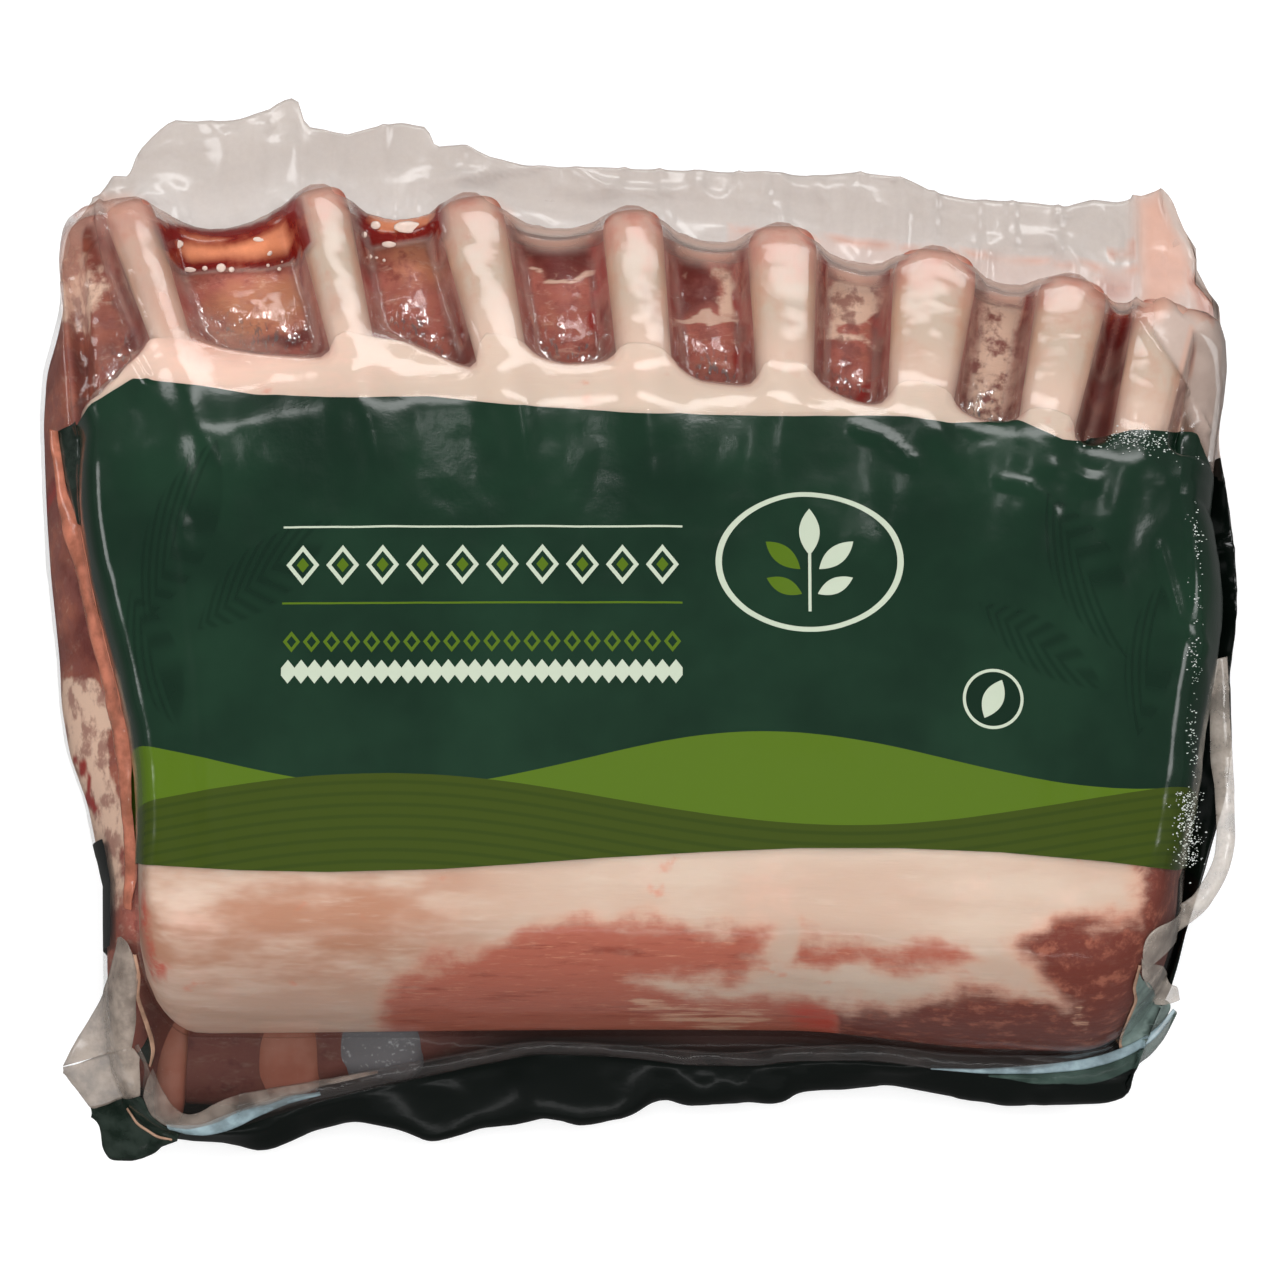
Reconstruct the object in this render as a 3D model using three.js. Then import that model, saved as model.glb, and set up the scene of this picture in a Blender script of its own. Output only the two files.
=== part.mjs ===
// Two frenched racks of lamb, nested and vacuum packed, as one sealed solid.
// Millimetres, +Z up. The pack lies flat with the fat side of the upper rack up,
// its rib bones pointing to +Y. The origin is the bottom centre of the pack's box.
import * as THREE from 'three';

// ---- Driving dimensions ----
const CROWN_HEIGHT = 66;        // top of the fat cap above the table
const CROWN_LINE = -5;          // y of the highest line of the fat cap
const FALL_TO_TIPS = 0.0021;    // quadratic fall of the crown towards the rib tips, 1/mm
const FALL_TO_LOIN = 0.0018;    // the same towards the loin edge
const END_DROP = 3.5;           // how much lower the crown is at the left and right ends
const HALF_LENGTH = 95;         // half length over which that drop is measured

const FAT_EDGE = 42;            // y where the fat cap ends and the windows begin
const FAT_EDGE_FALL = 0.00135;  // that edge drops back to the right
const FAT_EDGE_FROM = -30;      // x where it starts to drop
const FAT_CORNER = -82;         // x where the edge is cut off towards the left end
const FAT_CORNER_SLOPE = 0.94;
const FAT_MARGIN = 5;           // the grid's denser rows start this far below the edge

const WINDOW_FLOOR = 46;        // height of the lower rack's meat between the ribs
const WINDOW_FLOOR_FALL = 0.0035;
const WINDOW_BULGE = 1.6;       // the meat bulges up between two ribs
const WALL_RUN = 2.4;           // plan width of the walls round a window
const FILLET = 4;               // rounding of the window corners
const LOW_END_DROP = 6;         // the lower rack falls away at its left end
const LOW_END = [-84, -97];     // x between which it does
const RIDGE_HEIGHT = 1.5;       // ribs that still show as ridges under the fat
const RIDGE_RUN = [-1.3, -0.1]; // rib lengths below the root over which a ridge rises
const RIB_CROWN = 2.2;          // how much a bone's top is rounded across

// Frenched ribs from left to right: tip and root in plan, and the bone's width at each.
const RIBS = [
  { tip: [-88.5, 73.5], root: [-78, 43], tipWidth: 9.5, rootWidth: 7 },
  { tip: [-55.5, 75.5], root: [-47.8, 42], tipWidth: 10.5, rootWidth: 8 },
  { tip: [-29.5, 72.8], root: [-22.8, 41], tipWidth: 12.5, rootWidth: 9 },
  { tip: [-1.4, 70], root: [1, 39.5], tipWidth: 11.2, rootWidth: 9.8 },
  { tip: [24.3, 66], root: [24.5, 36], tipWidth: 12.8, rootWidth: 10 },
  { tip: [50.8, 62.5], root: [46.8, 33], tipWidth: 15.5, rootWidth: 11.5 },
  { tip: [74.3, 58.5], root: [67.8, 29], tipWidth: 13.2, rootWidth: 10 },
  { tip: [90, 55], root: [83, 26], tipWidth: 11.5, rootWidth: 9.5 },
];

// Outlines in plan. Each is a base value plus smooth steps [from, to, amount] and bells
// [middle, spread, amount] along the side, with a ruffle where the loose film waves.
// The four edges bound the top face; the reaches are how far the shelf or the flange
// stands out beyond the foot of the upper wall.
const OUTLINES = {
  leftEdge: { base: -79.5, steps: [[-35, 25, -11], [30, 48, -6]], bells: [] },
  rightEdge: { base: 86.5, steps: [[-25, -50, -3]], bells: [[5, 22, 5]] },
  lowEdge: { base: -48, steps: [], bells: [[0, 60, 0.8], [90, 30, -1]] },
  tipLine: { base: 70.6, slope: -0.105, curve: -0.0009, steps: [], bells: [[-55, 18, 1.2]] },
  bottomReach: { base: 8.5, steps: [[25, -40, 7.5]], bells: [[-82, 6, 4.5]] },
  rightReach: {
    base: 3.2, steps: [[-4, -28, 4.4], [-36, -47, -6], [30, 45, -2.6]], bells: [[8, 12, -0.8]], ruffle: 0.8,
  },
  topReach: { base: 12, steps: [[-15, -42, 6], [-54, -66, 3], [0, 40, 6]], bells: [], ruffle: 0.8 },
  leftReach: {
    base: 11, steps: [[5, 45, -3.4], [48, 66, -5.6], [-26, -50, -6.5]], bells: [[-17, 9, 2.2], [-48, 4, 11]],
  },
};
const TIP_SETBACK = [4.5, 2];   // top face ends short of the tip line: between ribs, at a rib
const TIP_SHARE = 0.6;          // spread of that difference, in bone widths

// Cross-section of each side of the pack, as plan distances out from the edge of the top
// face and heights. foot: end of the upper wall; rim: the outermost line, this far above
// the table and this thick; root: where the lower wall starts, measured in from the rim;
// base: where the pack meets the table, measured in from the rim; lip: the seam's height.
const SIDES = [
  { name: 'bottom', axis: [0, -1], footOut: 19, footZ: 20, rimZ: 12, rimThick: 6,
    rootIn: 2.5, rootZ: 3, baseIn: 9, lip: 4 },
  { name: 'right', axis: [1, 0], footOut: 8, footZ: 28, rimZ: 30, rimThick: 1.2,
    rootIn: 4, rootZ: 24, baseIn: 14, lip: 0 },
  { name: 'top', axis: [0.05, 1], footOut: 5.5, footZ: 30, rimZ: 30, rimThick: 1.2,
    rootIn: 18, rootZ: 26, baseIn: 26, lip: 0 },
  { name: 'left', axis: [-1, 0], footOut: 5, footZ: 37, rimZ: 23, rimThick: 9,
    rootIn: 1.5, rootZ: 9, baseIn: 9, lip: 0 },
];
const CORNER_BLEND = 0.08;      // share of a side over which its section turns into the next
const EDGE_CORNER_RADIUS = 10;  // plan rounding of the top face's corners
const WALL_FULLNESS = 0.7;      // exponent of the corner rounding: lower is squarer
const RIM_FULLNESS = 0.45;

// Where the flange is torn into points: x, how far each stands out, and half its width.
const SPIKES = [[-64, 4, 4], [-41, 2.5, 6], [91, 8, 9]];
const FLANGE_END = { x: [-94, -84], share: 0.25 };
const FLANGE_WAVE = 2.2;        // height of the flange's waves
const SCALLOP = { pitch: 33, from: -66, out: 1.8 }; // bone tips press the bottom side out
// Loose corner of the bag at the bottom left.
const TAB = { x: -80, y: -48, xSpread: 4, ySpread: 4, thin: 0.75, rootIn: 6 };

// Mesh density
const COLUMNS_PER_RIB = 8;
const FAT_ROWS = 15;
const RIB_ROWS = 15;
const SHOULDER_ANGLES = [22, 45, 68];
const BASE_ANGLES = [0, 35, 65, 90];

// ---- Small helpers ----
const clamp01 = (t) => Math.min(1, Math.max(0, t));
const lerp = (a, b, t) => a + (b - a) * t;
const bell = (value, middle, spread) => Math.exp(-(((value - middle) / spread) ** 2));
const sine = (degrees) => Math.sin(degrees * Math.PI / 180);
const cosine = (degrees) => Math.cos(degrees * Math.PI / 180);

function smoothstep(from, to, value) {
  const t = clamp01((value - from) / (to - from));
  return t * t * (3 - 2 * t);
}

function smoothMin(a, b, radius) {
  const h = Math.max(radius - Math.abs(a - b), 0) / radius;
  return Math.min(a, b) - h * h * radius * 0.25;
}

// Irregular waves of loose film, about 1 high, along a length s.
function ruffle(s) {
  return 0.55 * Math.sin(s / 3.9 + 1.3) + 0.3 * Math.sin(s / 2.2 + 0.4) + 0.35 * Math.sin(s / 9.1);
}

function outline(name, s) {
  const { base, slope = 0, curve = 0, steps, bells, ruffle: waves = 0 } = OUTLINES[name];
  let value = base + slope * s + curve * s * s + waves * ruffle(s);
  for (const [from, to, amount] of steps) value += amount * smoothstep(from, to, s);
  for (const [middle, spread, amount] of bells) value += amount * bell(s, middle, spread);
  return value;
}

// ---- The upper surface as a height over the plan ----
function topEdge(x) {
  const nearRib = Math.max(...RIBS.map((rib) => bell(x, rib.tip[0], rib.tipWidth * TIP_SHARE)));
  return outline('tipLine', x) - lerp(TIP_SETBACK[0], TIP_SETBACK[1], nearRib);
}

function fatEdge(x) {
  const fall = FAT_EDGE_FALL * Math.max(0, x - FAT_EDGE_FROM) ** 2;
  const corner = FAT_CORNER_SLOPE * Math.max(0, FAT_CORNER - x);
  return FAT_EDGE - fall - corner;
}

// Distance from a rib's axis, half its width there, and how far along the rib that is.
function ribPlace(rib, x, y) {
  const [rootX, rootY] = rib.root;
  const spanX = rib.tip[0] - rootX;
  const spanY = rib.tip[1] - rootY;
  const span = Math.hypot(spanX, spanY);
  const endShare = 1 - rib.tipWidth / 2 / span;
  const along = ((x - rootX) * spanX + (y - rootY) * spanY) / (span * span);
  const t = Math.min(along, endShare);
  const across = Math.hypot(x - rootX - spanX * t, y - rootY - spanY * t);
  const half = lerp(rib.rootWidth, rib.tipWidth, clamp01(along)) / 2;
  return { across, half, along };
}

function crownHeight(x, y) {
  const d = y - CROWN_LINE;
  const fall = (d > 0 ? FALL_TO_TIPS : FALL_TO_LOIN) * d * d;
  return CROWN_HEIGHT - fall - END_DROP * (x / HALF_LENGTH) ** 4;
}

function floorHeight(x, y, outside) {
  const d = y - FAT_EDGE;
  const bulge = WINDOW_BULGE * smoothstep(1, 8, outside);
  return WINDOW_FLOOR - WINDOW_FLOOR_FALL * d * d + bulge - LOW_END_DROP * smoothstep(...LOW_END, x);
}

function topHeight(x, y) {
  let outside = y - fatEdge(x);
  let ridge = 0;
  let rounding = 0;
  for (const rib of RIBS) {
    const { across, half, along } = ribPlace(rib, x, y);
    if (along > -0.35) outside = smoothMin(outside, across - half, FILLET);
    ridge = Math.max(ridge, bell(across, 0, half) * smoothstep(...RIDGE_RUN, along));
    rounding = Math.max(rounding, smoothstep(-0.1, 0.2, along) * clamp01(across / half) ** 2);
  }
  const solid = crownHeight(x, y) + RIDGE_HEIGHT * ridge - RIB_CROWN * rounding;
  const open = smoothstep(-WALL_RUN * 0.3, WALL_RUN * 0.7, outside);
  return lerp(solid, floorHeight(x, y, outside), open);
}

// ---- Top face: a grid whose columns run along the ribs ----
const columns = (RIBS.length + 1) * COLUMNS_PER_RIB;
const rows = FAT_ROWS + RIB_ROWS;
const lowRow = OUTLINES.lowEdge.base;

const lastRib = RIBS.at(-1);
const rootRow = { leftEdge: FAT_EDGE - FAT_MARGIN, rightEdge: fatEdge(lastRib.root[0]) - FAT_MARGIN };
const ends = {
  root: [outline('leftEdge', rootRow.leftEdge), outline('rightEdge', rootRow.rightEdge)],
  tip: [outline('leftEdge', lastRib.tip[1]), lastRib.tip[0] + lastRib.rootWidth / 2],
};

// x of a grid column at the ribs' roots or tips; ribs lie on whole columns.
function ribAbscissa(column, end) {
  const stops = [ends[end][0], ...RIBS.map((rib) => rib[end][0]), ends[end][1]];
  const index = Math.min(Math.floor(column), stops.length - 2);
  return lerp(stops[index], stops[index + 1], column - index);
}

function gridPoint(i, j) {
  const u = i / columns;
  const lowX = lerp(outline('leftEdge', lowRow), outline('rightEdge', lowRow), u);
  const rootX = ribAbscissa(i / COLUMNS_PER_RIB, 'root');
  const tipX = ribAbscissa(i / COLUMNS_PER_RIB, 'tip');
  const rootY = fatEdge(Math.max(rootX, FAT_CORNER)) - FAT_MARGIN;
  if (j > FAT_ROWS) {
    const t = (j - FAT_ROWS) / RIB_ROWS;
    return [lerp(rootX, tipX, t), lerp(rootY, topEdge(tipX), t)];
  }
  const t = j / FAT_ROWS;
  const y = lerp(outline('lowEdge', lowX), rootY, t);
  const bends = ['leftEdge', 'rightEdge'].map((name) => {
    const straight = lerp(outline(name, lowRow), outline(name, rootRow[name]), t);
    return outline(name, y) - straight;
  });
  return [lerp(lowX, rootX, t) + lerp(bends[0], bends[1], u), y];
}

// Shift of a point near a corner, so that the square corner becomes a round one.
function cornerShift(fromSide, fromEnd) {
  const p = clamp01(1 - fromSide / EDGE_CORNER_RADIUS);
  const q = clamp01(1 - fromEnd / EDGE_CORNER_RADIUS);
  const shiftSide = EDGE_CORNER_RADIUS * p * (1 - Math.sqrt(1 - q * q / 2));
  const shiftEnd = EDGE_CORNER_RADIUS * q * (1 - Math.sqrt(1 - p * p / 2));
  return [shiftSide, shiftEnd];
}

function topFacePoint(i, j) {
  let [x, y] = gridPoint(i, j);
  const toSides = [[x - gridPoint(0, j)[0], 1], [gridPoint(columns, j)[0] - x, -1]];
  const toEnds = [[y - gridPoint(i, 0)[1], 1], [gridPoint(i, rows)[1] - y, -1]];
  for (const [toSide, inX] of toSides) {
    for (const [toEnd, inY] of toEnds) {
      const [shiftX, shiftY] = cornerShift(toSide, toEnd);
      x += shiftX * inX;
      y += shiftY * inY;
    }
  }
  return [x, y, topHeight(x, y)];
}

// ---- Side walls, flange and underside: rings round the top face ----
// Grid places round the top face, with turn going 0 to 4, one for each side in order.
function perimeter() {
  const ring = [];
  for (let i = 0; i < columns; i++) ring.push({ i, j: 0, turn: i / columns });
  for (let j = 0; j < rows; j++) ring.push({ i: columns, j, turn: 1 + j / rows });
  for (let i = columns; i > 0; i--) ring.push({ i, j: rows, turn: 2 + (columns - i) / columns });
  for (let j = rows; j > 0; j--) ring.push({ i: 0, j, turn: 3 + (rows - j) / rows });
  return ring;
}

function fromMiddle(turn, side) {
  const distance = Math.abs(turn - side - 0.5);
  return Math.min(distance, 4 - distance);
}

// Share of each side's section in the heights at a place on the perimeter.
function heightShare(turn, side) {
  return 1 - smoothstep(0.5 - CORNER_BLEND, 0.5 + CORNER_BLEND, fromMiddle(turn, side));
}

// Share of each side's outward reach: at a corner both sides keep most of theirs.
function reachShare(turn, side, fullness) {
  const t = clamp01((fromMiddle(turn, side) - 0.5 + CORNER_BLEND) / (2 * CORNER_BLEND));
  return Math.max(0, Math.cos(t * Math.PI / 2)) ** fullness;
}

// Width of the shelf or flange outside the foot of the upper wall, for each side.
const REACHES = {
  bottom: (x) => outline('bottomReach', x)
    + SCALLOP.out * Math.cos((x - SCALLOP.from) * 2 * Math.PI / SCALLOP.pitch),
  right: (x, y) => outline('rightReach', y),
  top: (x) => {
    const spikes = SPIKES.map(([at, height, half]) => height * clamp01(1 - Math.abs(x - at) / half));
    const width = spikes.reduce((sum, spike) => sum + spike, outline('topReach', x));
    return width * lerp(FLANGE_END.share, 1, smoothstep(...FLANGE_END.x, x));
  },
  left: (x, y) => outline('leftReach', y),
};

// Section of one side, as [out, z] from shoulder to base, below a point of the top edge.
function sideSection(size, [x, y, z]) {
  const { footOut, footZ, rimZ, lip } = size;
  const reach = REACHES[size.name](x, y);
  const isFlange = size.rimThick < 2;
  const wave = isFlange ? FLANGE_WAVE * ruffle(x * 1.1 + y * 0.9 + 20) : 0;
  const tab = isFlange ? 0 : bell(y, TAB.y, TAB.ySpread) * bell(x, TAB.x, TAB.xSpread);
  const thick = size.rimThick * (1 - TAB.thin * tab);
  const rimOut = footOut + reach;
  const rootOut = rimOut - Math.min(size.rootIn, reach + 2) - TAB.rootIn * tab;
  const baseOut = rimOut - size.baseIn - TAB.rootIn * tab;
  const shoulder = SHOULDER_ANGLES.map((a) => [footOut * sine(a), lerp(footZ, z, cosine(a))]);
  const shelf = [
    [footOut, footZ],
    [footOut + reach * 0.1, footZ + lip * 0.9],
    [footOut + reach * 0.22, footZ + lip],
    [footOut + reach * 0.4, lerp(footZ, rimZ, 0.3) + wave * 0.4],
    [rimOut, rimZ + wave],
    [rimOut - 0.15, rimZ + wave - thick],
    [lerp(rootOut, rimOut, 0.5), lerp(size.rootZ, rimZ - thick, 0.5) + wave * 0.5 - 0.3],
  ];
  const under = BASE_ANGLES.map((a) => [lerp(baseOut, rootOut, cosine(a)), size.rootZ * (1 - sine(a))]);
  return [...shoulder, ...shelf, ...under];
}

// The sections of neighbouring sides merge round a corner.
function mergedSection(edgePoint, turn) {
  const sections = SIDES.map((size) => sideSection(size, edgePoint));
  return sections[0].map((_, level) => {
    const fullness = level <= SHOULDER_ANGLES.length ? WALL_FULLNESS : RIM_FULLNESS;
    const point = [edgePoint[0], edgePoint[1], 0];
    sections.forEach((section, side) => {
      const out = section[level][0] * reachShare(turn, side, fullness);
      point[0] += SIDES[side].axis[0] * out;
      point[1] += SIDES[side].axis[1] * out;
      point[2] += section[level][1] * heightShare(turn, side);
    });
    return point;
  });
}

function packGeometry() {
  const positions = [];
  const indices = [];
  const at = (i, j) => j * (columns + 1) + i;
  for (let j = 0; j <= rows; j++) {
    for (let i = 0; i <= columns; i++) positions.push(topFacePoint(i, j));
  }
  for (let j = 0; j < rows; j++) {
    for (let i = 0; i < columns; i++) {
      indices.push(at(i, j), at(i + 1, j), at(i + 1, j + 1));
      indices.push(at(i, j), at(i + 1, j + 1), at(i, j + 1));
    }
  }
  const ring = perimeter();
  const sections = ring.map(({ i, j, turn }) => mergedSection(positions[at(i, j)], turn));
  let previous = ring.map(({ i, j }) => at(i, j));
  for (let level = 0; level < sections[0].length; level++) {
    const current = sections.map((section) => positions.push(section[level]) - 1);
    for (let k = 0; k < ring.length; k++) {
      const next = (k + 1) % ring.length;
      indices.push(previous[k], current[k], current[next]);
      indices.push(previous[k], current[next], previous[next]);
    }
    previous = current;
  }
  const base = previous.map((index) => new THREE.Vector2(positions[index][0], positions[index][1]));
  for (const [a, b, c] of THREE.ShapeUtils.triangulateShape(base, [])) {
    indices.push(previous[a], previous[c], previous[b]);
  }
  const geometry = new THREE.BufferGeometry();
  geometry.setAttribute('position', new THREE.Float32BufferAttribute(positions.flat(), 3));
  geometry.setIndex(indices);
  geometry.computeBoundingBox();
  const middle = geometry.boundingBox.getCenter(new THREE.Vector3());
  geometry.translate(-middle.x, -middle.y, -geometry.boundingBox.min.z);
  geometry.computeVertexNormals();
  return geometry;
}

const meatUnderFilm = new THREE.MeshStandardMaterial({ color: 0xc9a48f, roughness: 0.3, metalness: 0 });

const pack = new THREE.Group();
const sealedPack = new THREE.Mesh(packGeometry(), meatUnderFilm);
sealedPack.name = 'sealed_pack';
pack.add(sealedPack);

export default pack;
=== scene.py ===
"""Two frenched racks of lamb, nested rib to rib and vacuum packed in one bag.

Every shape is worked out in millimetres in the pack's own plan, +Z up, with the upper
rack's ribs pointing to +Y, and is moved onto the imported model's box at the end.
"""
import logging
import math
from collections.abc import Sequence
from dataclasses import dataclass, field
from enum import Enum

import bmesh
import bpy
import numpy as np
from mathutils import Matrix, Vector
from mathutils.bvhtree import BVHTree


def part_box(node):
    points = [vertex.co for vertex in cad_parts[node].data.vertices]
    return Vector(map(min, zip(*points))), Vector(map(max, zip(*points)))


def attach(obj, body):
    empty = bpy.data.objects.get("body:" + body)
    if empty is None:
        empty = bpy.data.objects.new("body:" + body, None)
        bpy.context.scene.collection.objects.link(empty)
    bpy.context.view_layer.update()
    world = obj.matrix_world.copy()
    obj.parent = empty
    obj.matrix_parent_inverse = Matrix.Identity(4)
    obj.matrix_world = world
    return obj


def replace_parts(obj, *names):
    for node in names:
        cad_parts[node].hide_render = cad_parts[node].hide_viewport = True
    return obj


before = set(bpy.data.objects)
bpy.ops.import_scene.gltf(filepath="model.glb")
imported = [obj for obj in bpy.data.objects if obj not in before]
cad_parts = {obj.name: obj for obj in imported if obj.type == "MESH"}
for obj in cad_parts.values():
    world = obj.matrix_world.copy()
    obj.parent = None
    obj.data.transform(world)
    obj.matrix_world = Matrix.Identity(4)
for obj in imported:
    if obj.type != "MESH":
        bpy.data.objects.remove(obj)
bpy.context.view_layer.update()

LOG = logging.getLogger("lamb_pack")
Array = np.ndarray
Pair = tuple[float, float]
Point = tuple[float, float, float]
Colour = tuple[float, float, float, float]
Piece = bpy.types.Object
Material = bpy.types.Material
Socket = bpy.types.NodeSocket

NODE = "sealed_pack"
BODY = "root"
MM = 0.001
PLAN_MIN = (-106.602, -84.564)  # lowest x and y of the CAD pack, in the plan's own millimetres


# ---------------------------------------------------------------- numbers and noise
def smoothstep(start: float, end: float, value: Array) -> Array:
    """Ease from 0 at start to 1 at end.

    Args:
        start: value where the step begins.
        end: value where it is complete; it may be less than start.
        value: numbers to ease.
    Returns:
        The eased numbers, 0 to 1.
    """
    t = np.clip((value - start) / (end - start), 0.0, 1.0)
    return t * t * (3.0 - 2.0 * t)


def bell(value: Array, middle: float, spread: float) -> Array:
    """Return a smooth bump of height 1 at middle that fades over spread."""
    return np.exp(-(((value - middle) / spread) ** 2))


def lerp(a: Array, b: Array, t: Array) -> Array:
    """Return the value a share t of the way from a to b."""
    return a + (b - a) * t


def smooth_min(a: Array, b: Array, radius: float) -> Array:
    """Return the lesser of two distances, rounded where they meet."""
    h = np.maximum(radius - np.abs(a - b), 0.0) / radius
    return np.minimum(a, b) - h * h * radius * 0.25


class Noise:
    """Smooth value noise on a plane, from a seeded lattice."""

    SIDE = 128

    def __init__(self, seed: int) -> None:
        """Draw the lattice of one seed."""
        self.lattice = np.random.default_rng(seed).uniform(-1.0, 1.0, (self.SIDE, self.SIDE))

    def at(self, x: Array, y: Array) -> Array:
        """Return the noise, about -1 to 1, at points one lattice cell apart per unit."""
        column, row = np.floor(x).astype(int), np.floor(y).astype(int)
        u, v = (t * t * t * (t * (t * 6.0 - 15.0) + 10.0) for t in (x - column, y - row))
        left, right = column % self.SIDE, (column + 1) % self.SIDE
        near, far = (lerp(self.lattice[line % self.SIDE, left], self.lattice[line % self.SIDE, right], u)
                     for line in (row, row + 1))
        return lerp(near, far, v)

    def fractal(self, x: Array, y: Array, cell: float, octaves: int = 3) -> Array:
        """Return layered noise whose coarsest cell is this many millimetres.

        Args:
            x: plan x in millimetres.
            y: plan y in millimetres.
            cell: size of the coarsest cell.
            octaves: number of layers, each half the size and height of the last.
        Returns:
            The noise, about -1 to 1.
        """
        total = np.zeros(np.broadcast(x, y).shape)
        for octave in range(octaves):
            size = cell / 2**octave
            total = total + self.at(x / size + 17.3 * octave, y / size + 9.7 * octave) * 0.5**octave
        return total


@dataclass(frozen=True)
class Line:
    """A line across the plan, given by points in rising order of their first number."""

    points: tuple[Pair, ...]
    ease: float = 1.5

    def at(self, place: Array) -> Array:
        """Return the line's second number at a first number, with its corners eased."""
        first, second = zip(*self.points)
        return sum(np.interp(place + d, first, second) for d in (-self.ease, 0.0, self.ease)) / 3.0


MARK_COS, MARK_SIN = 0.978, 0.208  # of the tilt, 12 degrees, of the plane that marks are drawn on
MARK_MIDDLE = 32.0                 # height at which that plane passes over the plan's middle
MARK_RANGE = 800.0                 # how far above it the point lies from which marks are cast


def tilted(x: Array, y: Array, z: Array) -> tuple[Array, Array]:
    """Lay points out on the plane that marks are drawn on, which tilts towards the loin edge.

    Fronts and tops of the meat both spread out on it.

    Args:
        x: plan x.
        y: plan y.
        z: height.
    Returns:
        Millimetres across and up the plane.
    """
    rise = z - MARK_MIDDLE
    shrink = (MARK_RANGE - rise * MARK_COS + MARK_SIN * y) / MARK_RANGE
    return x / shrink, (MARK_COS * y + MARK_SIN * rise) / shrink


@dataclass(frozen=True)
class Patch:
    """A soft-edged mark on the tilted plane, given by its outline."""

    outline: tuple[Pair, ...]
    soft: float = 1.8

    def distance(self, across: Array, up: Array) -> Array:
        """Return the distance inside the outline, negative outside."""
        points = np.array(self.outline, float)
        steps = np.roll(points, -1, axis=0) - points
        place = np.stack([across, up], axis=-1)[..., None, :]
        length = np.maximum((steps**2).sum(-1), 1e-9)
        share = np.clip(((place - points) * steps).sum(-1) / length, 0.0, 1.0)
        nearest = np.linalg.norm(place - points - share[..., None] * steps, axis=-1).min(-1)
        ends = points[:, 1] + steps[:, 1]
        crosses = (points[:, 1] > place[..., 1]) != (ends > place[..., 1])
        slope = steps[:, 0] / np.where(np.abs(steps[:, 1]) < 1e-9, 1e-9, steps[:, 1])
        left = place[..., 0] < points[:, 0] + (place[..., 1] - points[:, 1]) * slope
        inside = (crosses & left).sum(-1) % 2 == 1
        return np.where(inside, nearest, -nearest)

    def cover(self, across: Array, up: Array, softer: float = 1.0) -> Array:
        """Return 1 well inside the outline, easing to 0 outside over softer times its edge."""
        soft = self.soft * softer
        return smoothstep(-soft, soft, self.distance(across, up))


FRAY = Noise(41)


def frayed(across: Array, up: Array, size: float = 1.3) -> tuple[Array, Array]:
    """Return places shifted by smooth noise, so that marks drawn there get uneven outlines.

    Args:
        across: place across the tilted plane.
        up: place up it.
        size: largest shift, about, in millimetres.
    Returns:
        The shifted places.
    """
    return (across + size * FRAY.fractal(across, up, 6.0, 3),
            up + size * FRAY.fractal(across + 71.0, up - 38.0, 6.0, 3))


def covered(patches: Sequence[Patch], across: Array, up: Array, softer: float = 1.0) -> Array:
    """Return the most that any of the patches covers, their edges softer times as soft."""
    return np.maximum.reduce([patch.cover(across, up, softer) for patch in patches])


@dataclass(frozen=True)
class Crease:
    """A ridge pressed into film along a short line of the tilted plane."""

    points: tuple[Pair, ...]
    height: float
    width: float

    def lift(self, across: Array, up: Array) -> Array:
        """Return how far the film stands off the surface."""
        total = np.zeros_like(across)
        for (x0, y0), (x1, y1) in zip(self.points, self.points[1:]):
            length = (x1 - x0) ** 2 + (y1 - y0) ** 2
            share = np.clip(((across - x0) * (x1 - x0) + (up - y0) * (y1 - y0)) / length, 0.0, 1.0)
            away = np.hypot(across - lerp(x0, x1, share), up - lerp(y0, y1, share))
            total = np.maximum(total, np.exp(-((away / self.width) ** 2)))
        return self.height * total


# ---------------------------------------------------------------- form of the pack
@dataclass(frozen=True)
class Rib:
    """One frenched rib in plan: where its bare end stops and where it enters the fat."""

    tip: Pair
    root: Pair
    tip_width: float
    root_width: float
    sag: float          # how far the film hangs back between this tip and the next
    pocket: float       # plan run of the loose film behind that edge


RIBS = (
    Rib((-88.5, 73.5), (-78.0, 43.0), 9.5, 7.0, 6.0, 9.0),
    Rib((-55.5, 75.5), (-47.8, 42.0), 10.5, 8.0, 4.6, 7.0),
    Rib((-29.5, 72.8), (-22.8, 41.0), 12.5, 9.0, 4.2, 5.0),
    Rib((-1.4, 70.0), (1.0, 39.5), 11.2, 9.8, 4.0, 4.5),
    Rib((24.3, 66.0), (24.5, 36.0), 12.8, 10.0, 4.6, 4.5),
    Rib((50.8, 62.5), (46.8, 33.0), 15.5, 11.5, 3.4, 5.0),
    Rib((74.3, 58.5), (67.8, 29.0), 13.2, 10.0, 2.4, 4.0),
    Rib((90.0, 55.0), (83.0, 26.0), 11.5, 9.5, 2.0, 3.0),
)


@dataclass(frozen=True)
class Outline:
    """A plan distance that varies along a side: a base, steps and bells."""

    base: float
    slope: float = 0.0
    curve: float = 0.0
    steps: tuple[tuple[float, float, float], ...] = ()
    bells: tuple[tuple[float, float, float], ...] = ()

    def at(self, s: Array) -> Array:
        """Return the distance at places s along the side."""
        value = self.base + self.slope * s + self.curve * s * s
        for start, end, amount in self.steps:
            value = value + amount * smoothstep(start, end, s)
        for middle, spread, amount in self.bells:
            value = value + amount * bell(s, middle, spread)
        return value


def ruffle(s: Array) -> Array:
    """Return the irregular waves of a loose film edge, about 1 high, along a length s."""
    return 0.55 * np.sin(s / 3.9 + 1.3) + 0.3 * np.sin(s / 2.2 + 0.4) + 0.35 * np.sin(s / 9.1)


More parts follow.
